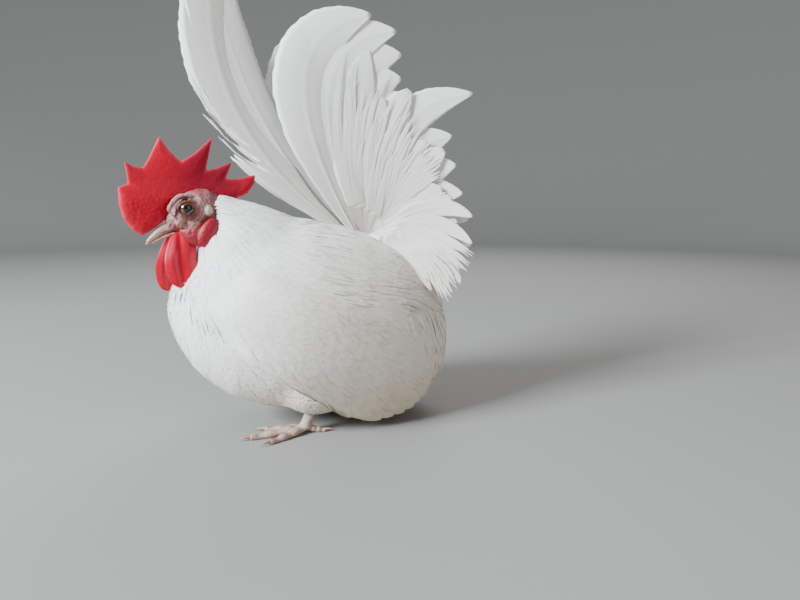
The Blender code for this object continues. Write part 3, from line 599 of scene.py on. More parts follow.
def broad_vane(sheets, chart, side, curve, half_width, heights, outline, splits=2, wave=0.35,
               rows=46, tilt=0.0, gaps=(), barb=(0.34, 1)):
    """One large feather as a bent sheet whose rows are barbs swept towards its tip.

    heights are those at the root, past it and at the tip; outline gives places along the
    shaft and the share of the width there.  At a gap (place, edge, start across, width in
    millimetres) two neighbouring barbs part.  barb says how far the barbs run ahead at the rim
    and how late they bend.
    """
    places, shares = zip(*outline)
    first = len(sheets["points"])
    tint = draw.random()
    length = (Vector(curve[1]) - Vector(curve[0])).length + (Vector(curve[2])
                                                             - Vector(curve[1])).length
    step = 1.0 / (rows - 1)
    parted = [(int(place * (rows - 1)), edge, start, width / length)
              for place, edge, start, width in gaps]
    parted += [(draw.randrange(int(rows * 0.3), int(rows * 0.8)), draw.choice((-1, 1)),
                draw.uniform(0.3, 0.7), 0.4 * step) for _ in range(splits)]
    phase = draw.uniform(0.0, math.tau)
    for i in range(rows):
        for u in vane_columns:
            t = i * step
            sweep, drawn_in = t + barb[0] * t * (1 - t) * abs(u) ** barb[1], 0.0
            for row, edge, start, width in parted:
                if u * edge > start:
                    near = math.exp(-abs(i - row - 0.5) / 2.0) * (u * edge - start) / (1 - start)
                    sweep += width * near if i > row else -width * near
                    drawn_in += near if i > row else 0.0
            sweep = min(max(sweep, 0.0), 1.0)
            spot, heading = bend(*curve, sweep)
            reach = half_width * read(sweep, places, shares)
            reach *= 1 + rim_ripple * math.sin(i * 2.4 + phase) * abs(u) - slit_depth * drawn_in
            across = Vector((-heading.y, heading.x))
            flat = spot + across * reach * u
            lift = read(sweep, height_places, heights)
            lift += tilt * reach * u - cupping * (reach * u) ** 2
            lift += wave * math.sin(sweep * 6.0 + phase + 1.5 * u) * abs(u)
            lift += shaft_height * (1 - sweep) if abs(u) < shaft_half else 0.0
            sheets["points"].append(chart(flat.x, flat.y, lift, side))
            sheets["vane"].append((u / 2 + 0.5, sweep))
            sheets["tint"].append(tint)
            sheets["feather"].append(sheets["count"])
    wide = len(vane_columns)
    for i in range(rows - 1):
        for j in range(wide - 1):
            middle = (vane_columns[j] + vane_columns[j + 1]) / 2
            if any(row == i and middle * edge > start for row, edge, start, _ in parted):
                continue
            a = first + i * wide + j
            sheets["faces"].append((a, a + 1, a + wide + 1, a + wide))
    sheets["count"] += 1


def new_sheets():
    return {"points": [], "faces": [], "vane": [], "tint": [], "feather": [], "count": 0}


def finish_sheets(name, sheets, thickness, finish, *stands_for):
    """Makes the sheets one mesh, gives them their thickness and lays out their baking map."""
    mesh = bpy.data.meshes.new(name)
    mesh.from_pydata(sheets["points"], [], sheets["faces"])
    used = corner_points(mesh)
    vane = np.array(sheets["vane"])[used]
    lay_map(mesh, "Vane", vane)
    feather = np.array(sheets["feather"])[used]
    cells = math.ceil(math.sqrt(sheets["count"] * 3))
    corner = np.stack([feather % cells, feather // cells], axis=-1) / (cells, cells / 3)
    lay_map(mesh, "OFBake", corner + vane * np.array([0.9 / cells, 2.7 / cells]))
    store(mesh, "tint", sheets["tint"])
    piece = new_object(name, mesh)
    work(piece, "SOLIDIFY", thickness=thickness * MM, offset=0.0)
    dress(piece, finish, "plumage", *stands_for)


# Its second colour is the painted shade at the feather roots.
tail_white = plumage_finish("tail_plumage", (0.93, 0.93, 0.93), (0.8, 0.785, 0.765), 90.0, 0.26,
                            0.0002, 0.5)
BROAD = ((0.0, 0.12), (0.12, 0.4), (0.3, 0.82), (0.48, 1.0), (0.66, 0.96), (0.8, 0.75),
         (0.9, 0.47), (0.96, 0.24), (1.0, 0.05))
SWORD = ((0.0, 0.12), (0.1, 0.32), (0.2, 0.64), (0.32, 0.88), (0.46, 1.0), (0.7, 1.0),
         (0.85, 0.74), (0.94, 0.4), (1.0, 0.06))
fan_feathers = (
    ((27.0, 115.0), (-38.0, 224.0), (33.0, 239.0), 18.0),
    ((28.5, 115.0), (-17.0, 226.0), (47.5, 231.0), 17.0),
    ((30.0, 115.0), (0.0, 218.0), (51.0, 218.5), 16.0),
    ((32.0, 115.0), (14.0, 205.0), (51.5, 205.5), 15.0),
    ((34.0, 115.0), (25.0, 188.0), (55.0, 196.0), 14.0),
    ((37.0, 114.0), (33.0, 192.0), (93.5, 198.5), 12.0),
    ((36.0, 114.0), (34.0, 170.0), (66.0, 190.0), 13.0),
    ((39.0, 113.0), (43.0, 169.0), (83.0, 174.0), 13.0),
    ((41.0, 113.0), (51.0, 154.0), (86.0, 157.0), 13.0),
    ((42.0, 112.0), (55.0, 144.0), (90.0, 140.0), 12.0),
    ((43.0, 112.0), (60.0, 134.0), (93.0, 124.0), 11.0),
    ((43.0, 112.0), (66.0, 126.0), (93.0, 108.0), 8.0),
)
LEAF = ((0.0, 0.15), (0.15, 0.5), (0.35, 0.88), (0.55, 1.0), (0.72, 0.93), (0.85, 0.68),
        (0.94, 0.4), (1.0, 0.12))
fan_turns = (-8.0, 12.0, 28.0, 43.0, 54.0, 60.0, 75.0, 85.0, 92.0, 100.0, 108.0)
fan_reaches = (52.0, 54.0, 57.0, 63.0, 76.0, 84.0, 98.0, 112.0, 122.0, 126.0, 116.0)
covert_count = 14
covert_hub = (37.0, 113.0)       # the coverts spread from here
covert_span = 108.0              # degrees of the fan that they fill
golden_share = 0.618             # spreads them evenly, none beside the one before it
cover_turns = (-12.0, 10.0, 30.0, 60.0, 108.0)
cover_heights = (9.6, 7.2, 5.0, 4.7, 7.0)
plume_count, draped_count = 250, 80
both_sides = ((1, "left"), (-1, "right"))
plume_outline = (0.3, 0.75, 0.95, 1.0, 0.85, 0.6, 0.32, 0.05)
draped_coverts = (
    ((36.0, 113.0), (68.0, 142.0), (92.0, 126.0), 5.5, 10.6),
    ((36.0, 113.0), (70.0, 134.0), (90.0, 110.0), 5.0, 11.4),
    ((34.0, 113.0), (62.0, 131.0), (82.0, 97.0), 5.0, 12.4),
    ((38.0, 112.0), (72.0, 122.0), (83.0, 86.0), 4.6, 12.0),
    ((33.0, 113.0), (56.0, 124.0), (76.0, 86.0), 4.6, 13.2),
    ((32.0, 113.0), (50.0, 118.0), (66.0, 82.0), 4.4, 13.8),
    ((31.0, 114.0), (44.0, 116.0), (56.0, 84.0), 4.2, 13.2),
)


def covert_curve(turn, share, bow):
    """A covert's curve: it points turn degrees up from the rear and fills a share of the fan."""
    reach = share * read(turn, fan_turns, fan_reaches)
    root = (42.0 - 10.0 * turn / covert_span, 113.0 + 3.0 * turn / covert_span)
    curve = [root]
    for angle, part in ((math.radians(turn + bow), 0.6 * reach), (math.radians(turn), reach)):
        curve.append((covert_hub[0] + part * math.cos(angle),
                      covert_hub[1] + part * math.sin(angle)))
    return curve, reach


def plume_line(side, curve, heights):
    """The stations of a slender plume that lies over the tail: middle, normal and across."""
    line = []
    for k in range(len(plume_outline)):
        t = k / (len(plume_outline) - 1)
        spot, heading = bend(*curve, t)
        height = read(t, height_places, heights)
        here = over_tail(spot.x, spot.y, height, side)
        way = (over_tail(spot.x + heading.x, spot.y + heading.y, height, side) - here).normalized()
        beside = over_tail(spot.x - heading.y, spot.y + heading.x, height, side) - here
        normal = side * way.cross(beside).normalized()
        line.append((here, normal, normal.cross(way)))
    return line


sickle_feathers = (
    ((19.0, 119.0), (-82.0, 190.0), (-42.0, 292.0), 16.0, -0.9, 0.16),
    ((21.0, 119.0), (-52.0, 192.0), (-49.0, 268.0), 11.5, -2.6, 0.1),
    ((16.0, 118.0), (-34.0, 160.0), (-48.0, 216.0), 7.0, -4.0, 0.2),
)
edge_slits = ((0.22, 1, 0.4, 4.6), (0.265, 1, 0.3, 4.6), (0.31, 1, 0.4, 4.6))
for side, word in both_sides:
    sheets = new_sheets()
    for k, (root, control, tip, half_width) in enumerate(fan_feathers):
        under = len(fan_feathers) - 1 - k
        height = 0.6 + 0.5 * under
        broad_vane(sheets, over_tail, side, (root, control, tip), half_width,
                   (height - 2.0, height, height), BROAD, 0)
    for k in range(covert_count):
        over = k / (covert_count - 1)
        turn = -6.0 + covert_span * ((golden_share * k + 0.3) % 1.0)
        share = (0.94 - 0.3 * over) * draw.uniform(0.96, 1.04)
        height = read(turn, cover_turns, cover_heights) + 0.8 * over
        curve, reach = covert_curve(turn, share, 16.0)
        broad_vane(sheets, over_tail, side, curve, 6.5 + 0.075 * reach,
                   (3.0, height, height - 0.8), LEAF, 0, 0.2, 34)
    for root, control, tip, half_width, height in draped_coverts:
        broad_vane(sheets, over_tail, side, (root, control, tip), half_width,
                   (3.5, height, height - 1.0), LEAF, 0, 0.3, 34)
    finish_sheets("tail_vanes_" + word, sheets, 0.2, tail_white, "tail_" + word)
    plumes = []
    for _ in range(plume_count):
        over = draw.random()
        turn = draw.uniform(-14.0, 106.0)
        height = read(turn, cover_turns, cover_heights) + 0.6 + 1.2 * over
        curve = covert_curve(turn, 0.86 - 0.46 * over, draw.uniform(8.0, 20.0))[0]
        plumes.append(plume_line(side, curve, (3.5, height + 0.2, height - 0.8)))
    for _ in range(draped_count):
        over = draw.random()
        curve = covert_curve(draw.uniform(-46.0, -6.0), 1.04 - 0.4 * over,
                             draw.uniform(18.0, 34.0))[0]
        plumes.append(plume_line(side, curve, (4.0, 12.2 + 1.6 * over, 12.4 + 1.4 * over)))
    widths = [draw.uniform(2.2, 4.6) for _ in range(plume_count)]
    widths += [draw.uniform(1.6, 3.2) for _ in range(draped_count)]
    closed_vanes("tail_plumes_" + word, plumes, widths, plume_outline, 0.06, tail_white)
    sheets = new_sheets()
    for k, (root, control, tip, half_width, height, tilt) in enumerate(sickle_feathers):
        broad_vane(sheets, over_tail, side, (root, control, tip), half_width, (height,) * 3,
                   SWORD, 0, 0.4, 80, tilt, () if k else edge_slits, (0.8, 2))
    finish_sheets("sickle_vanes_" + word, sheets, 0.3, tail_white, "sickles_" + word)


# Wings
# Each wing hangs folded over the flank.  Flight feathers lie on one another below, and small
# soft coverts hide their roots and the arm; the leading edge makes a crease on the breast.
wing_roots = ((0.0, -34.0, 43.0), (0.5, -38.0, 69.0), (1.0, -19.0, 97.0))
wing_tips = ((0.0, 15.0, 8.5), (0.15, 36.0, 7.0), (0.3, 54.0, 9.5), (0.45, 66.0, 17.0),
             (0.6, 72.0, 28.0), (0.75, 72.0, 41.0), (0.9, 67.0, 55.0), (1.0, 61.0, 65.0))


def read_rows(table, share):
    places, ys, zs = zip(*table)
    return Vector((read(share, places, ys), read(share, places, zs)))


flank_steps = (-12.0, -8.0, -4.0, 0.0, 4.0, 8.0, 12.0)       # the flank is smoothed over these
flank_tuck = 0.0042              # how much it draws in below its middle


def over_flank(y, z, height, side):
    """A point over the body's side; below its middle the wing hangs nearly straight down."""
    under, back, half_width = (np.mean([np.interp(y + step, body_y, column)
                                        for step in flank_steps])
                               for column in (body_under, body_back, body_half_width))
    middle = (under + back) / 2
    if z < middle:
        reach = half_width - flank_tuck * (middle - z) ** 2
    else:
        rise = min((z - middle) / ((back - under) / 2), 0.97)
        reach = half_width * (1 - rise ** body_squareness) ** (1 / body_squareness)
    return ground + Vector((side * (reach + height), y, z)) * MM


def on_wing(s, t):
    """Place in y and z of a share s of the way up the wing and t of the way to the tips."""
    return read_rows(wing_roots, s).lerp(read_rows(wing_tips, s), t)


def wing_height(s, t):
    """How far the wing's coat stands out from the flank; its edges sink into the body's coat."""
    inside = smooth_step(-0.36, -0.12, t) * smooth_step(-0.1, 0.12, s) * smooth_step(1.1, 0.8, s)
    thick = 1.4 + 4.6 * (1 - smooth_step(0.0, 0.75, t))
    return -3.0 + (3.0 + thick) * inside


covert_heights = (-3.0, -1.3, -0.4, 0.1, 0.35, 0.35)
wing_outline = ((0.0, 0.35), (0.25, 0.8), (0.6, 1.0), (0.85, 0.85), (0.95, 0.6), (1.0, 0.3))
wing_tiers = (                  # feathers, where they start and end, half width, height
    (14, 0.3, 1.0, 6.4, 0.6),
    (15, 0.3, 0.86, 6.4, 1.0),
)
covert_places = 3600
bed_rows, bed_columns = 40, 44   # grid of the surface that they lie on


def lie_of_wing(spot, way):
    """The way to the wing's tips at a place, drooping and swirled a little."""
    swirl = noise.noise_vector(bird_place(spot) * 0.05) * 0.22
    return (way + Vector((0.0, 0.0, -0.12)) + swirl).normalized()


for side, word in both_sides:
    sheets = new_sheets()
    for tier, (count, start, end, half_width, height) in enumerate(wing_tiers):
        for k in range(count):
            s = 0.14 + 0.86 * (k + 0.5 * (tier % 2)) / (count - 0.5)
            far = end * draw.uniform(0.95, 1.05) if tier else 1.0
            first, last = on_wing(s, start), on_wing(s, far)
            sag = Vector((0.0, -0.07 * (last - first).length))
            broad_vane(sheets, over_flank, side, (first, (first + last) / 2 + sag, last),
                       half_width, (-2.5, 0.5 * height, height), wing_outline, 1, 0.12, 24, 0.05)
    finish_sheets("wing_vanes_" + word, sheets, 0.3, body_white, "wing_" + word)

    shares = [(-0.1 + 1.2 * j / (bed_columns - 1), -0.36 + 1.3 * i / (bed_rows - 1))
              for i in range(bed_rows) for j in range(bed_columns)]
    bed = [over_flank(*on_wing(s, t), wing_height(s, t), side) for s, t in shares]
    starts = [i * bed_columns + j for i in range(bed_rows - 1) for j in range(bed_columns - 1)]
    faces = [(a, a + 1, a + 1 + bed_columns, a + bed_columns) for a in starts]
    if side > 0:
        faces = [face[::-1] for face in faces]
    bed_tree = BVHTree.FromPolygons(bed, faces)
    spots = []
    for _ in range(covert_places):
        s, t = draw.uniform(-0.1, 1.1), draw.uniform(-0.34, 0.84)
        height = wing_height(s, t)
        spot = over_flank(*on_wing(s, t), height, side)
        ahead = over_flank(*on_wing(s, t + 0.05), height, side)
        spots.append((spot, (ahead - spot).normalized()))
    lines = feather_lines(bed_tree, spots, lie_of_wing, 1.0, lambda place: 1.0,
                          lambda place: draw.uniform(24.0, 36.0),
                          covert_heights, 0.2)
    closed_vanes("wing_coverts_" + word, lines, [draw.uniform(1.5, 2.7) for _ in lines],
                 pointed_outline, 0.1, body_white)


# Head
# The bare mauve-pink skin of the face on its skull, with the rings of folds round the eye, two
# lids, the gape, the pale ear spot and the red lobe below it, all one skin.
skull_y = (-10.2, -9.5, -6.5, -3.0, 1.5, 7.0, 12.5, 17.5, 20.5, 21.5)
skull_z = (-8.0, -7.6, -5.6, -3.2, -1.2, 0.0, 0.3, -0.6, -1.6, -2.0)
skull_half_width = (2.5, 4.3, 6.6, 8.9, 10.6, 11.4, 10.9, 8.6, 5.0, 2.0)
skull_half_height = (3.0, 4.9, 7.2, 9.2, 10.7, 11.4, 10.9, 8.8, 5.2, 2.0)
skull_middle, skull_half_length = 5.65, 15.85
face_grain = 0.34                # voxel that makes the parts of the face one skin
ear_place = (10.8, -0.8)         # y and z of the middle of the pale ear spot
lobe_place, lobe_half_sizes = (10.0, -13.0), (9.4, 5.7)
lobe_way = Vector((-0.485, -0.875))              # the way that the lobe hangs
lobe_width_way = Vector((0.875, -0.485))
lore_place, lore_depth = (-6.5, -2.5), 0.7       # the hollow between eye and beak


def head_spot(local):
    """A place in the head's own millimetres as a point of the frame."""
    return ground + (HEAD_PLACE + head_turn @ Vector(local)) * MM


def in_own_head(spot):
    return head_turn.transposed() @ ((spot - ground) / MM - HEAD_PLACE)


def turn_outwards(thing, merge=0.0):
    """Merges points of a closed shape that lie this near together and turns its faces out."""
    bpy.context.view_layer.objects.active = thing
    bpy.ops.object.mode_set(mode="EDIT")
    bpy.ops.mesh.select_all(action="SELECT")
    if merge:
        bpy.ops.mesh.remove_doubles(threshold=merge)
    bpy.ops.mesh.normals_make_consistent(inside=False)
    bpy.ops.object.mode_set(mode="OBJECT")


def head_ball(segments, rings, move):
    """A ball shaped as shaped_ball does, in the head's own millimetres."""
    return shaped_ball(segments, rings, lambda unit: HEAD_PLACE + head_turn @ Vector(move(unit)))


def skull_place(unit):
    _, c, s, reach = way_round(unit)
    y = skull_middle - skull_half_length * unit.z
    return (read(y, skull_y, skull_half_width) * reach * c, y,
            read(y, skull_y, skull_z) + read(y, skull_y, skull_half_height) * reach * s)


def tube_along(name, line, radii, sides=12, flatten=1.0, closed=False, up=Vector((0, 0, 1))):
    """A round tube along points of the frame, a radius in metres at each, closed at its ends."""
    mesh = bmesh.new()
    rows = []
    count = len(line)
    for k, point in enumerate(line):
        before = line[(k - 1) % count] if closed else line[max(k - 1, 0)]
        after = line[(k + 1) % count] if closed else line[min(k + 1, count - 1)]
        ahead = (after - before).normalized()
        across = ahead.cross(up)
        if across.length < 0.05:
            across = ahead.cross(Vector((0, 1, 0.3)))
        across.normalize()
        rise = across.cross(ahead)
        rows.append([mesh.verts.new(point + radii[k] * (math.cos(a) * across
                                                        + flatten * math.sin(a) * rise))
                     for a in (math.tau * i / sides for i in range(sides))])
    pairs = list(zip(rows, rows[1:])) + ([(rows[-1], rows[0])] if closed else [])
    for row, following in pairs:
        for i in range(sides):
            mesh.faces.new((row[i], row[(i + 1) % sides], following[(i + 1) % sides],
                            following[i]))
    if not closed:
        mesh.faces.new(rows[0])
        mesh.faces.new(rows[-1])
    bmesh.ops.recalc_face_normals(mesh, faces=mesh.faces)
    data = bpy.data.meshes.new(name)
    mesh.to_mesh(data)
    mesh.free()
    return new_object(name, data)


face_parts = [head_ball(64, 48, skull_place)]
face_rings = (                  # middle y and z, half width, half height, out, thickness
    (0.3, -0.1, 4.8, 4.1, 9.85, 0.7),
    (0.0, -0.3, 8.0, 7.5, 9.0, 1.25),
    (11.0, -0.4, 4.5, 4.5, 9.3, 0.7),
)
ring_steps = 40
face_swellings = (              # middle, half sizes, lean: ear, lobe, cheek, gape, throat
    ((9.9, 10.8, -0.8), (2.0, 2.4, 3.0), 0.0),
    ((13.0, 10.0, -13.0), (2.7, 4.9, 8.9), -29.0),
    ((8.2, -3.2, -8.6), (2.6, 4.2, 2.3), -28.0),
    ((6.6, 0.5, -11.8), (3.4, 5.0, 2.6), 8.0),
    ((6.4, 5.0, -13.5), (6.4, 9.0, 7.0), -20.0),
)
for side in (1, -1):
    for middle_y, middle_z, wide, tall, out, thick in face_rings:
        line, radii = [], []
        for k in range(ring_steps):
            a = math.tau * k / ring_steps
            corner = 1.0 + 0.12 * math.exp(-(math.sin(a) / 0.3) ** 2)
            y, z = wide * math.cos(a) * corner, tall * math.sin(a)
            x = out - 0.028 * (y * y + z * z) + (0.55 if z > 0 and wide < 5 else 0.0)
            line.append(head_spot((side * x, y + middle_y, z + middle_z)))
            radii.append(thick * (1.15 if z > 0 else 0.85) * MM)
        face_parts.append(tube_along("lid", line, radii, 8, closed=True, up=Vector((1, 0, 0))))
    for centre, radii, tilt in face_swellings:
        turn = Matrix.Rotation(math.radians(tilt), 3, "X")
        face_parts.append(head_ball(28, 18, lambda unit: Vector(
            (side * centre[0], *centre[1:])) + turn @ Vector(
            (side * radii[0] * unit.x, radii[1] * unit.y, radii[2] * unit.z))))
face = join_parts("face_skin", face_parts)
work(face, "REMESH", mode="VOXEL", voxel_size=face_grain * MM)
work(face, "SMOOTH", iterations=5)

redness, paleness, painted_face_shade, steps = [], [], [], []
for vert in face.data.vertices:
    x, y, z = in_own_head(vert.co)
    r = math.hypot(y - 0.3, z)
    from_lobe = Vector((y, z)) - Vector(lobe_place)
    along_lobe = from_lobe.dot(lobe_way) / lobe_half_sizes[0]
    off_lobe = from_lobe.dot(lobe_width_way) / lobe_half_sizes[1]
    lobe = smooth_step(1.35, 0.95, along_lobe ** 2 + off_lobe ** 2)
    lobe *= smooth_step(9.0, 10.5, abs(x))
    fold = 0.09 * math.sin(math.tau * r / 1.7) * math.exp(-((r - 8.5) / 3.6) ** 2)
    fold += 0.12 * math.sin(math.tau * (y * 0.35 - z * 0.2) + x) * math.exp(-((z + 9.5) / 3.0) ** 2)
    fold += 0.26 * noise.noise(Vector((x, y, z)) * 0.5)
    fold += 0.09 * noise.noise(Vector((x, y, z)) * 1.5)
    fold -= lore_depth * math.exp(-((y - lore_place[0]) / 2.4) ** 2
                                  - ((z - lore_place[1]) / 2.6) ** 2)
    from_ear = (y - ear_place[0], z - ear_place[1])
    ear = math.exp(-((from_ear[0] / 2.3) ** 2 + (from_ear[1] / 2.9) ** 2) ** 3) * (abs(x) > 8.5)
    steps.append(vert.co + vert.normal * fold * (1 - 0.6 * max(lobe, ear)) * MM)
    gape = smooth_step(-9.0, -13.0, z)
    crown = smooth_step(6.5, 10.5, z) * smooth_step(10.0, 4.0, y)
    redness.append(max(lobe, 0.8 * gape, 0.7 * crown))
    paleness.append(max(ear, 0.3 * math.exp(-((r - 8.2) / 1.4) ** 2) * smooth_step(-9.0, -5.0, z)))
    # Painted shade: a dark disc round the eye and a dark ring in the crease round the ear spot.
    painted_face_shade.append(max(smooth_step(1.35, 0.7, ((y - 0.5) / 6.6) ** 2 + (z / 5.9) ** 2),
                    0.55 * math.exp(-((math.hypot(*from_ear) - 3.6) / 0.8) ** 2)))
for vert, spot in zip(face.data.vertices, steps):
    vert.co = spot
for label, values in (("redness", redness), ("paleness", paleness), ("painted_face_shade", painted_face_shade)):
    store(face.data, label, values)


# The grain of bare skin: fine papillae with painted shade in their hollows, a mottled tone and a
# little wet gloss.
skin_group, given, out = new_group("bare skin", (("Tone", "Color"), ("Deep", "Color"),
                                                 ("Grain", "Float")),
                                   (("Colour", "Color"), ("Height", "Float")))
where = add_node(skin_group, "TexCoord").outputs["Object"]
papillae = add_node(skin_group, "TexVoronoi", Vector=where, Scale=given.outputs["Grain"])
papillae.feature = "SMOOTH_F1"
mottle = noise_at(where, 260.0, 5.0)
contrast = add_node(skin_group, "MapRange", Value=mottle, From_Min=0.3, From_Max=0.7).outputs[0]
# Deep tone: partly random mottle, partly painted shade in the hollows between papillae.
depth = maths("ADD", maths("MULTIPLY", contrast, 0.6),
              maths("MULTIPLY", papillae.outputs["Distance"], 0.7), True)
hollows = maths("ADD", papillae.outputs["Distance"], maths("MULTIPLY", mottle, 0.5))
set_inputs(out, Colour=laid_over(depth, given.outputs["Tone"], given.outputs["Deep"]),
           Height=maths("SUBTRACT", 1.0, hollows))


def bare_skin(name, layers, grain, bump_height, roughness, gloss, shine=0.5):
    """Bare skin in one or more tones, each laid over the last where its attribute says."""
    finish, tree, shader = new_finish(
        name, Roughness=roughness, Specular_IOR_Level=shine, Coat_Weight=gloss,
        Coat_Roughness=0.25, Subsurface_Weight=0.2, Subsurface_Radius=(0.004, 0.0012, 0.0008),
        Subsurface_Scale=0.3)
    for k, (tone, deep, label) in enumerate(layers):
        skin = tree.nodes.new("ShaderNodeGroup")
        skin.node_tree = skin_group
        set_inputs(skin, Tone=(*tone, 1), Deep=(*deep, 1), Grain=grain)
        if k:
            colour = laid_over(stored(tree, label), colour, skin.outputs["Colour"])
        else:
            colour = skin.outputs["Colour"]
            raise_grain(shader, skin.outputs["Height"], bump_height, 0.8)
    set_inputs(shader, Base_Color=colour)
    return finish


# The second layer of the face is painted shade round the eye and the ear spot.
face_finish = bare_skin("bare_face", (((0.35, 0.15, 0.14), (0.21, 0.075, 0.078), None),
                                      ((0.2, 0.08, 0.065), (0.1, 0.035, 0.03), "painted_face_shade"),
                                      ((0.33, 0.0, 0.017), (0.23, 0.0, 0.011), "redness"),
                                      ((0.74, 0.6, 0.57), (0.56, 0.4, 0.38), "paleness")),
                        1500.0, 0.0003, 0.5, 0.12, 0.35)
dress(face, face_finish, "face_skin", "head", "earlobe_left", "earlobe_right")


# Eyes
# A dark brown eye with a black pupil and a clear, wet front that bulges a little.
eye_out, eye_forward = 6.9, 0.2  # middle of an eyeball
eye_radius, clear_front = 4.75, 0.35             # and how much its front bulges
sight_angle = 1.15               # angle off its axis at which the iris ends, in radians
fibre_circle = 16.0              # the iris reads its fibres round a circle of this radius
eye_finish, tree, shader = new_finish("wet_eye", Roughness=0.12, Coat_Weight=0.5,
                                      Coat_Roughness=0.03)
iris_map = add_node(tree, "UVMap")
iris_map.uv_map = "Iris"
fibres = maths("SUBTRACT", noise_at(iris_map.outputs["UV"], 1.0), 0.5)
wavy = maths("ADD", stored(tree, "off_axis"), maths("MULTIPLY", fibres, 0.12))
set_inputs(shader, Base_Color=ramp_of(wavy, (0.42, (0.004, 0.003, 0.003)),
                                      (0.46, (0.05, 0.018, 0.01)), (0.58, (0.11, 0.04, 0.022)),
                                      (0.78, (0.08, 0.03, 0.018)), (0.9, (0.02, 0.01, 0.008))))
for side, word in both_sides:
    bpy.ops.mesh.primitive_uv_sphere_add(segments=40, ring_count=28, radius=1.0)
    eye = bpy.context.object
    eye.name = "eyeball_" + word
    turns, angles = [], []
    for vert in eye.data.vertices:
        unit = vert.co.normalized()
        angles.append(math.acos(max(-1.0, min(1.0, unit.z))) / sight_angle)
        turns.append(math.atan2(unit.y, unit.x))
        size = eye_radius + clear_front * math.exp(-(angles[-1] / 0.5) ** 2)
        vert.co = head_spot((side * (eye_out + size * unit.z),
                             size * unit.x * side + eye_forward, size * unit.y))
    eye.matrix_world = Matrix()
    store(eye.data, "off_axis", angles)
    circle = fibre_circle * np.column_stack([np.cos(turns), np.sin(turns)])
    lay_map(eye.data, "Iris", circle[corner_points(eye.data)])
    turn_outwards(eye)
    dress(eye, eye_finish, "eye", "eye_" + word)


# Comb
# The tall single comb: a thick fleshy foot on the skull and beak, a blade with five points that
# thins to its edge, painted paler there as a highlight and darker over its rear half as
# painted shade, and a lobe that hangs in front over the beak.
comb_outline = ((-33.4, 11.6), (-31.0, 12.4), (-28.2, 13.6), (-28.6, 19.0), (-29.4, 25.2),
                (-25.2, 22.8), (-20.2, 22.0), (-16.6, 28.0), (-11.1, 38.9), (-6.6, 31.6),
                (-0.6, 25.6), (7.0, 30.6), (16.8, 39.4), (14.9, 31.2), (12.4, 21.2), (18.6, 22.6),
                (27.5, 26.4), (25.6, 21.6), (23.4, 16.8), (31.0, 16.9), (40.8, 19.4),
                (40.0, 14.6), (35.6, 8.4), (28.2, 5.4), (20.0, 4.6), (12.0, 5.0), (2.0, 4.0),
                (-7.0, 1.0), (-10.0, -5.5), (-14.8, -9.4), (-19.0, -12.4), (-22.8, -14.4),
                (-27.4, -11.4), (-31.4, -5.6), (-33.4, 2.6))
flat_half = 2.4                  # half thickness of the flat blade that is shaped
blade_half, foot_swelling = 0.55, 1.7            # half thickness at the edge, and more at the foot
bpy.ops.curve.primitive_bezier_circle_add(radius=1.0)
outline_curve = bpy.context.object
outline_curve.data.dimensions = "2D"
outline_curve.data.fill_mode = "BOTH"
outline_curve.data.extrude = flat_half
outline_curve.data.splines.clear()
edge = outline_curve.data.splines.new("POLY")
edge.points.add(len(comb_outline) - 1)
for point, (y, z) in zip(edge.points, comb_outline):
    point.co = (y, z, 0.0, 1.0)
edge.use_cyclic_u = True
bpy.ops.object.convert(target="MESH")
comb = bpy.context.object
comb.name = "comb_blade"
work(comb, "REMESH", mode="VOXEL", voxel_size=0.5)
work(comb, "SMOOTH", iterations=3)
outline_points = np.array(comb_outline)
following = np.roll(outline_points, -1, axis=0)
spread = following - outline_points
flat = np.array([vert.co for vert in comb.data.vertices])
to_start = flat[:, None, :2] - outline_points[None]
share = np.clip((to_start * spread).sum(-1) / (spread ** 2).sum(-1), 0, 1)
to_edge = np.linalg.norm(to_start - share[..., None] * spread, axis=-1).min(axis=1)
rims, comb_rear_shade = [], []
for vert, distance in zip(comb.data.vertices, to_edge):
    y, z, x = vert.co
    half = blade_half + 0.95 * (1 - math.exp(-distance / 3.5))
    foot = smooth_step(17.0, 1.0, z) * (1 - math.exp(-distance / 1.6))
    half += foot_swelling * foot
    grain = noise.noise(Vector((y, z, x)) * 0.75) + 0.5 * noise.noise(Vector((y, z, x)) * 1.9)
    half *= 1 + 0.07 * grain * min(distance / 2.0, 1.0)
    sway = 1.6 * math.sin(0.11 * y + 0.8) * smooth_step(4.0, 38.0, z)
    lobe = -1.2 * smooth_step(-14.0, -30.0, y) * smooth_step(6.0, -10.0, z)
    vert.co = head_spot((x / flat_half * half + sway + lobe, y, z))
    # Painted highlight: the blade pales towards its thin edge.
    rims.append(math.exp(-(distance / 0.8) ** 1.5))
    # Painted shade: the rear half of the blade is darker.
    comb_rear_shade.append(0.75 * smooth_step(-12.0, 8.0, y) * smooth_step(36.0, 27.0, y))
comb.matrix_world = Matrix()
turn_outwards(comb)
store(comb.data, "rim", rims)
store(comb.data, "rear", comb_rear_shade)
comb_finish = bare_skin("comb_red", (((0.52, 0.0, 0.021), (0.42, 0.0, 0.018), None),
                                     # The rear layer is painted shade over the comb's rear half.
                                     ((0.3, 0.0, 0.026), (0.23, 0.0, 0.018), "rear"),
                                     # The rim layer is a painted highlight: on the comb's edge and
                                     # along a fold of each wattle.
                                     ((0.72, 0.06, 0.11), (0.58, 0.02, 0.06), "rim")),
                        1300.0, 0.00006, 0.42, 0.05, 0.22)
dress(comb, comb_finish, "comb_skin", "comb")


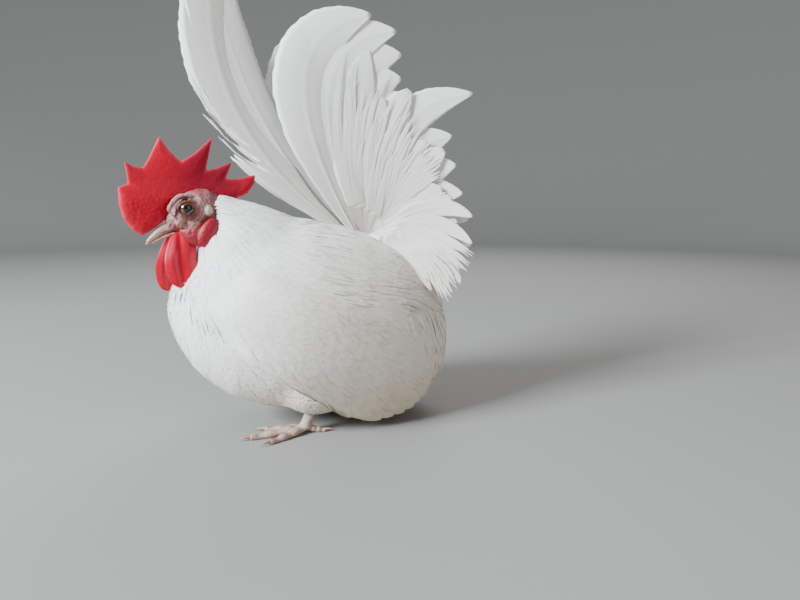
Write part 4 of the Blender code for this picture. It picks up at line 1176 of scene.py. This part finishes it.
# Wattles
# Two thin hanging flaps under the beak, thick and round at the rim, creased down the middle.
wattle_top = Vector((0.0, -4.0, -12.5))          # in the head's own place
wattle_sizes = ((1, "left", 30.5, -2.0), (-1, "right", 34.0, -7.0))      # drop, and swing ahead
for side, word, drop, forward in wattle_sizes:
    def wattle_place(unit):
        t, c, s, _ = way_round(unit)
        round_end = math.sqrt(max(1 - ((t - 0.5) / 0.5) ** 4, 0.0))
        half_width = (5.8 + 2.9 * math.sin(math.pi * min(t * 0.62 + 0.1, 1.0))) * round_end
        half_thick = (1.3 + 1.3 * t) * round_end
        swell = math.sin(math.pi * t) ** 0.6
        folds = 0.9 * math.exp(-((c + 0.55) / 0.2) ** 2) - 1.3 * math.exp(-((c + 0.12) / 0.2) ** 2)
        folds += 0.8 * math.exp(-((c - 0.5) / 0.22) ** 2)
        x = side * (4.6 + 4.4 * math.sin(math.pi * 0.55 * t))
        return (x + (half_thick + 0.8 * folds * swell) * s + 0.5 * math.sin(6.0 * t + 2.0 * c),
                wattle_top.y + forward * t + 1.8 * t + half_width * c + 0.6 * math.sin(9.0 * t),
                wattle_top.z - drop * t - 0.5 * t)

    wattle = head_ball(56, 44, wattle_place)
    wattle.name = "wattle_flap_" + word
    turn_outwards(wattle, 0.00002)
    rims = []
    for vert in wattle.data.vertices:
        own = in_own_head(vert.co)
        along = (wattle_top.z - own.z) / drop
        off = (own.y - wattle_top.y - (forward + 1.8) * along) / 7.5
        # Painted highlight along a fold near the wattle's front, with scattered pale flecks.
        rims.append(0.55 * math.exp(-((off + 0.5) / 0.14) ** 2) * math.exp(
            -((along - 0.35) / 0.22) ** 2) + 0.12 * max(noise.noise(vert.co * 260.0), 0.0))
    store(wattle.data, "rim", rims)
    dress(wattle, comb_finish, "comb_skin", "wattle_" + word)


# Beak
# Two halves of pale pinkish horn: the upper curves down over the lower, with a nostril slit on
# each side and fine growth lines along it.
horn_finish, tree, shader = new_finish("pale_horn", Roughness=0.35, Coat_Weight=0.15,
                                       Subsurface_Weight=0.15, Subsurface_Scale=0.002)
lines_map = add_node(tree, "Mapping", Vector=add_node(tree, "TexCoord").outputs["Object"],
                     Scale=(900.0, 160.0, 900.0))
growth = noise_at(lines_map.outputs["Vector"], 1.0, 3.0)
set_inputs(shader, Base_Color=ramp_of(growth, (0.3, (0.3, 0.155, 0.12)), (0.7, (0.5, 0.33, 0.28))))
raise_grain(shader, growth, 0.0002, 0.6)
beak_halves = {
    "upper": ((-6.0, -9.6, 4.4, 2.4), (-8.5, -10.2, 4.2, 2.9), (-11.5, -11.4, 3.7, 2.9),
              (-14.5, -13.2, 3.0, 2.6), (-17.5, -15.5, 2.0, 1.9), (-20.2, -18.0, 0.95, 1.0),
              (-21.3, -19.4, 0.2, 0.3)),
    "lower": ((-6.0, -13.2, 3.7, 1.4), (-9.0, -14.0, 3.3, 1.4), (-12.0, -15.2, 2.8, 1.3),
              (-15.0, -16.8, 2.1, 1.1), (-17.8, -18.2, 1.1, 0.8), (-19.0, -18.9, 0.3, 0.3)),
}
nostril, nostril_depth = (-11.4, -10.4), 0.35
for word, sections in beak_halves.items():
    ys, zs, half_widths, half_heights = (np.array(column) for column in zip(*sections))
    stations = np.linspace(0.0, 1.0, len(sections))
    upper = word == "upper"

    def beak_place(unit):
        t, c, s, reach = way_round(unit)
        y, z = read(t, stations, ys), read(t, stations, zs)
        half_width = read(t, stations, half_widths) * reach
        half_height = read(t, stations, half_heights) * reach
        ridge = 1 + (0.1 * math.exp(-(c / 0.3) ** 2) if (s > 0) == upper else 0.0)
        spot = Vector((half_width * c, y - 0.62 * half_height * s * ridge * (1 if upper else 0.4),
                       z + 0.78 * half_height * s * ridge))
        back, up = spot.y - nostril[0], spot.z - nostril[1]
        slit = math.exp(-((back + 0.6 * up) / 1.5) ** 2 - (up / 0.6) ** 2) if upper else 0.0
        spot.x *= 1 - nostril_depth * slit
        return spot

    beak = head_ball(36, 40, beak_place)
    beak.name = "beak_horn_" + word
    turn_outwards(beak, 0.00001)
    work(beak, "SMOOTH", iterations=3)
    dress(beak, horn_finish, "horn", "beak_" + word)


# Feet
# Short dusty pinkish legs: the shank and toes in overlapping scutes on top and small round
# scales at the sides, with a curved horn claw on each toe.
foot_places = {1: -10.0, -1: 20.0}
foot_out, ankle_height = 27.0, 6.0
hock_rise = Vector((0.0, 8.0, 21.0))
shank_share, shank_radius = (0, 0.15, 0.5, 0.8, 1), (3.5, 3.1, 2.8, 3.0, 3.6)
shank_rows = 45
foot_grain = 0.32                # voxel that makes shank and toes one skin
toes = (                        # heading, length, radius, rows along it, reach of its claw
    ("inner", -24.0, 25.0, 2.3, 60, 6.9),
    ("middle", 2.0, 33.0, 2.6, 60, 6.9),
    ("outer", 27.0, 26.0, 2.3, 60, 6.9),
    ("back", 168.0, 11.0, 1.9, 28, 5.9),
)
claw_rows = 12
claw_clear = 0.75                # how far the claw's tip stays off the ground
scale_finish, tree, shader = new_finish("leg_scutes", Roughness=0.6)
where = add_node(tree, "TexCoord").outputs["Object"]
cells = add_node(tree, "TexVoronoi", Vector=where, Scale=900.0)
cells.feature = "DISTANCE_TO_EDGE"
seam = cells.outputs["Distance"]
dusty = maths("ADD", noise_at(where, 220.0, 4.0),
              maths("MULTIPLY", maths("MINIMUM", seam, 0.1), 1.5))
set_inputs(shader, Base_Color=ramp_of(dusty, (0.35, (0.22, 0.145, 0.115)),
                                      (0.65, (0.47, 0.345, 0.29))))
raise_grain(shader, maths("MINIMUM", seam, 0.12), 0.0003)


def scute_radii(sizes, scutes, step):
    """Radii along a leg or toe that step up at each scute and taper off to the next."""
    count = len(sizes)
    return [size * (1 + step * (1 - (k / (count - 1) * scutes) % 1.0))
            for k, size in enumerate(sizes)]


for side, word in both_sides:
    ankle = Vector((side * foot_out, foot_places[side], ankle_height))
    hock = ankle + hock_rise
    places = [k / (shank_rows - 1) for k in range(shank_rows)]
    line = [ground + ankle.lerp(hock, -0.1 + 1.1 * place) * MM for place in places]
    sizes = [read(place, shank_share, shank_radius) * MM for place in places]
    foot_parts = [tube_along("shank", line, scute_radii(sizes, 9, 0.07), 20)]
    for label, heading, length, radius, rows, claw_reach in toes:
        angle = math.radians(heading)
        ahead = Vector((side * math.sin(angle), -math.cos(angle), 0.0))
        line, sizes = [], []
        for k in range(rows):
            t = k / (rows - 1)
            size = radius * (1.12 - 0.42 * t) * (1 + 0.13 * math.cos(math.tau * 3 * t))
            height = size * 0.86 + (4.4 - radius) * (1 - t) ** 3
            line.append(ground + (Vector((ankle.x, ankle.y, 0.0)) + ahead * length * t
                                  + Vector((0, 0, height))) * MM)
            sizes.append(size * MM * (1.0 if t < 0.96 else 0.9))
        foot_parts.append(tube_along("toe", line, scute_radii(sizes, length / 2.1, 0.08), 18, 0.9))
        root = line[-1]
        curve, thick = [], []
        for k in range(claw_rows):
            t = k / (claw_rows - 1)
            drop = (root.z - claw_clear * MM) * t ** 1.7
            curve.append(root + ahead * (claw_reach * MM * t - 0.6 * MM)
                         + Vector((0, 0, -drop + 0.7 * MM * math.sin(math.pi * t))))
            thick.append(max(sizes[-1] * 0.72 * (1 - t) ** 0.7, 0.12 * MM))
        claw = tube_along("claw_horn_%s_%s" % (word, label), curve, thick, 12)
        dress(claw, horn_finish, "horn", "claw_%s_%s" % (word, label))
    foot = join_parts("foot_skin_" + word, foot_parts)
    work(foot, "REMESH", mode="VOXEL", voxel_size=foot_grain * MM)
    work(foot, "SMOOTH", iterations=1)
    for vert in foot.data.vertices:
        vert.co.z = max(vert.co.z, 0.0)
    dress(foot, scale_finish, "leg_scales", "foot_" + word)


# Stage, light and camera
# A pale floor that curves up behind, a large cool soft light from the front left as in the
# photo, a weak warm one from the right, and the camera at the photo's place.
floor_radius, rim_reach, rim_height = 1.6, 0.9, 2.2      # it curves up round its rim
curve_steps = 12
bpy.ops.mesh.primitive_circle_add(vertices=96, radius=floor_radius, fill_type="NGON")
floor = bpy.context.object
floor.name = "floor"
bpy.ops.object.mode_set(mode="EDIT")
for step in range(1, curve_steps + 1):
    before, after = (math.pi / 2 / curve_steps * k for k in (step - 1, step))
    bpy.ops.mesh.extrude_region_move(TRANSFORM_OT_translate={
        "value": (0.0, 0.0, rim_height * (math.cos(before) - math.cos(after)))})
    growth = ((floor_radius + rim_reach * math.sin(after))
              / (floor_radius + rim_reach * math.sin(before)))
    bpy.ops.transform.resize(value=(growth, growth, 1.0))
bpy.ops.mesh.delete(type="ONLY_FACE")
bpy.ops.object.mode_set(mode="OBJECT")
bpy.ops.object.shade_smooth()
floor_finish = new_finish("pale_floor", Base_Color=(0.3, 0.297, 0.29, 1), Roughness=0.9)[0]
floor.data.materials.append(floor_finish)

world = bpy.data.worlds.new("studio")
bpy.context.scene.world = world
world.use_nodes = True
set_inputs(world.node_tree.nodes["Background"], Color=(0.62, 0.63, 0.66, 1), Strength=0.6)


light_aim = Vector((0.0, 0.0, 0.12))


def soft_light(name, spot, size, power, colour):
    bpy.ops.object.light_add(type="AREA", location=spot)
    light = bpy.context.object
    light.name = name
    light.data.size = size
    light.data.energy = power
    light.data.color = colour
    aim = light_aim - light.location
    light.rotation_euler = aim.to_track_quat("-Z", "Y").to_euler()


soft_light("key", (0.4, -1.25, 0.75), size=0.5, power=66.0, colour=(0.9, 0.96, 1.0))
soft_light("fill", (1.1, 0.5, 0.6), size=0.9, power=4.0, colour=(1.0, 0.88, 0.76))
soft_light("rim", (-0.8, 0.5, 1.0), size=0.8, power=8.0, colour=(1.0, 1.0, 1.0))

camera_place = Vector((381.0, -80.0, 136.0))
camera_turn, camera_dip = math.radians(20.0), math.radians(9.0)  # towards the tail, and down
bpy.ops.object.camera_add(location=ground + camera_place * MM)
camera = bpy.context.object
look = Vector((-math.cos(camera_turn), math.sin(camera_turn), -math.tan(camera_dip)))
camera.rotation_euler = look.to_track_quat("-Z", "Y").to_euler()
camera.data.sensor_width = 36.0
camera.data.lens = 28.35
camera.data.clip_start = 0.01
bpy.context.scene.camera = camera
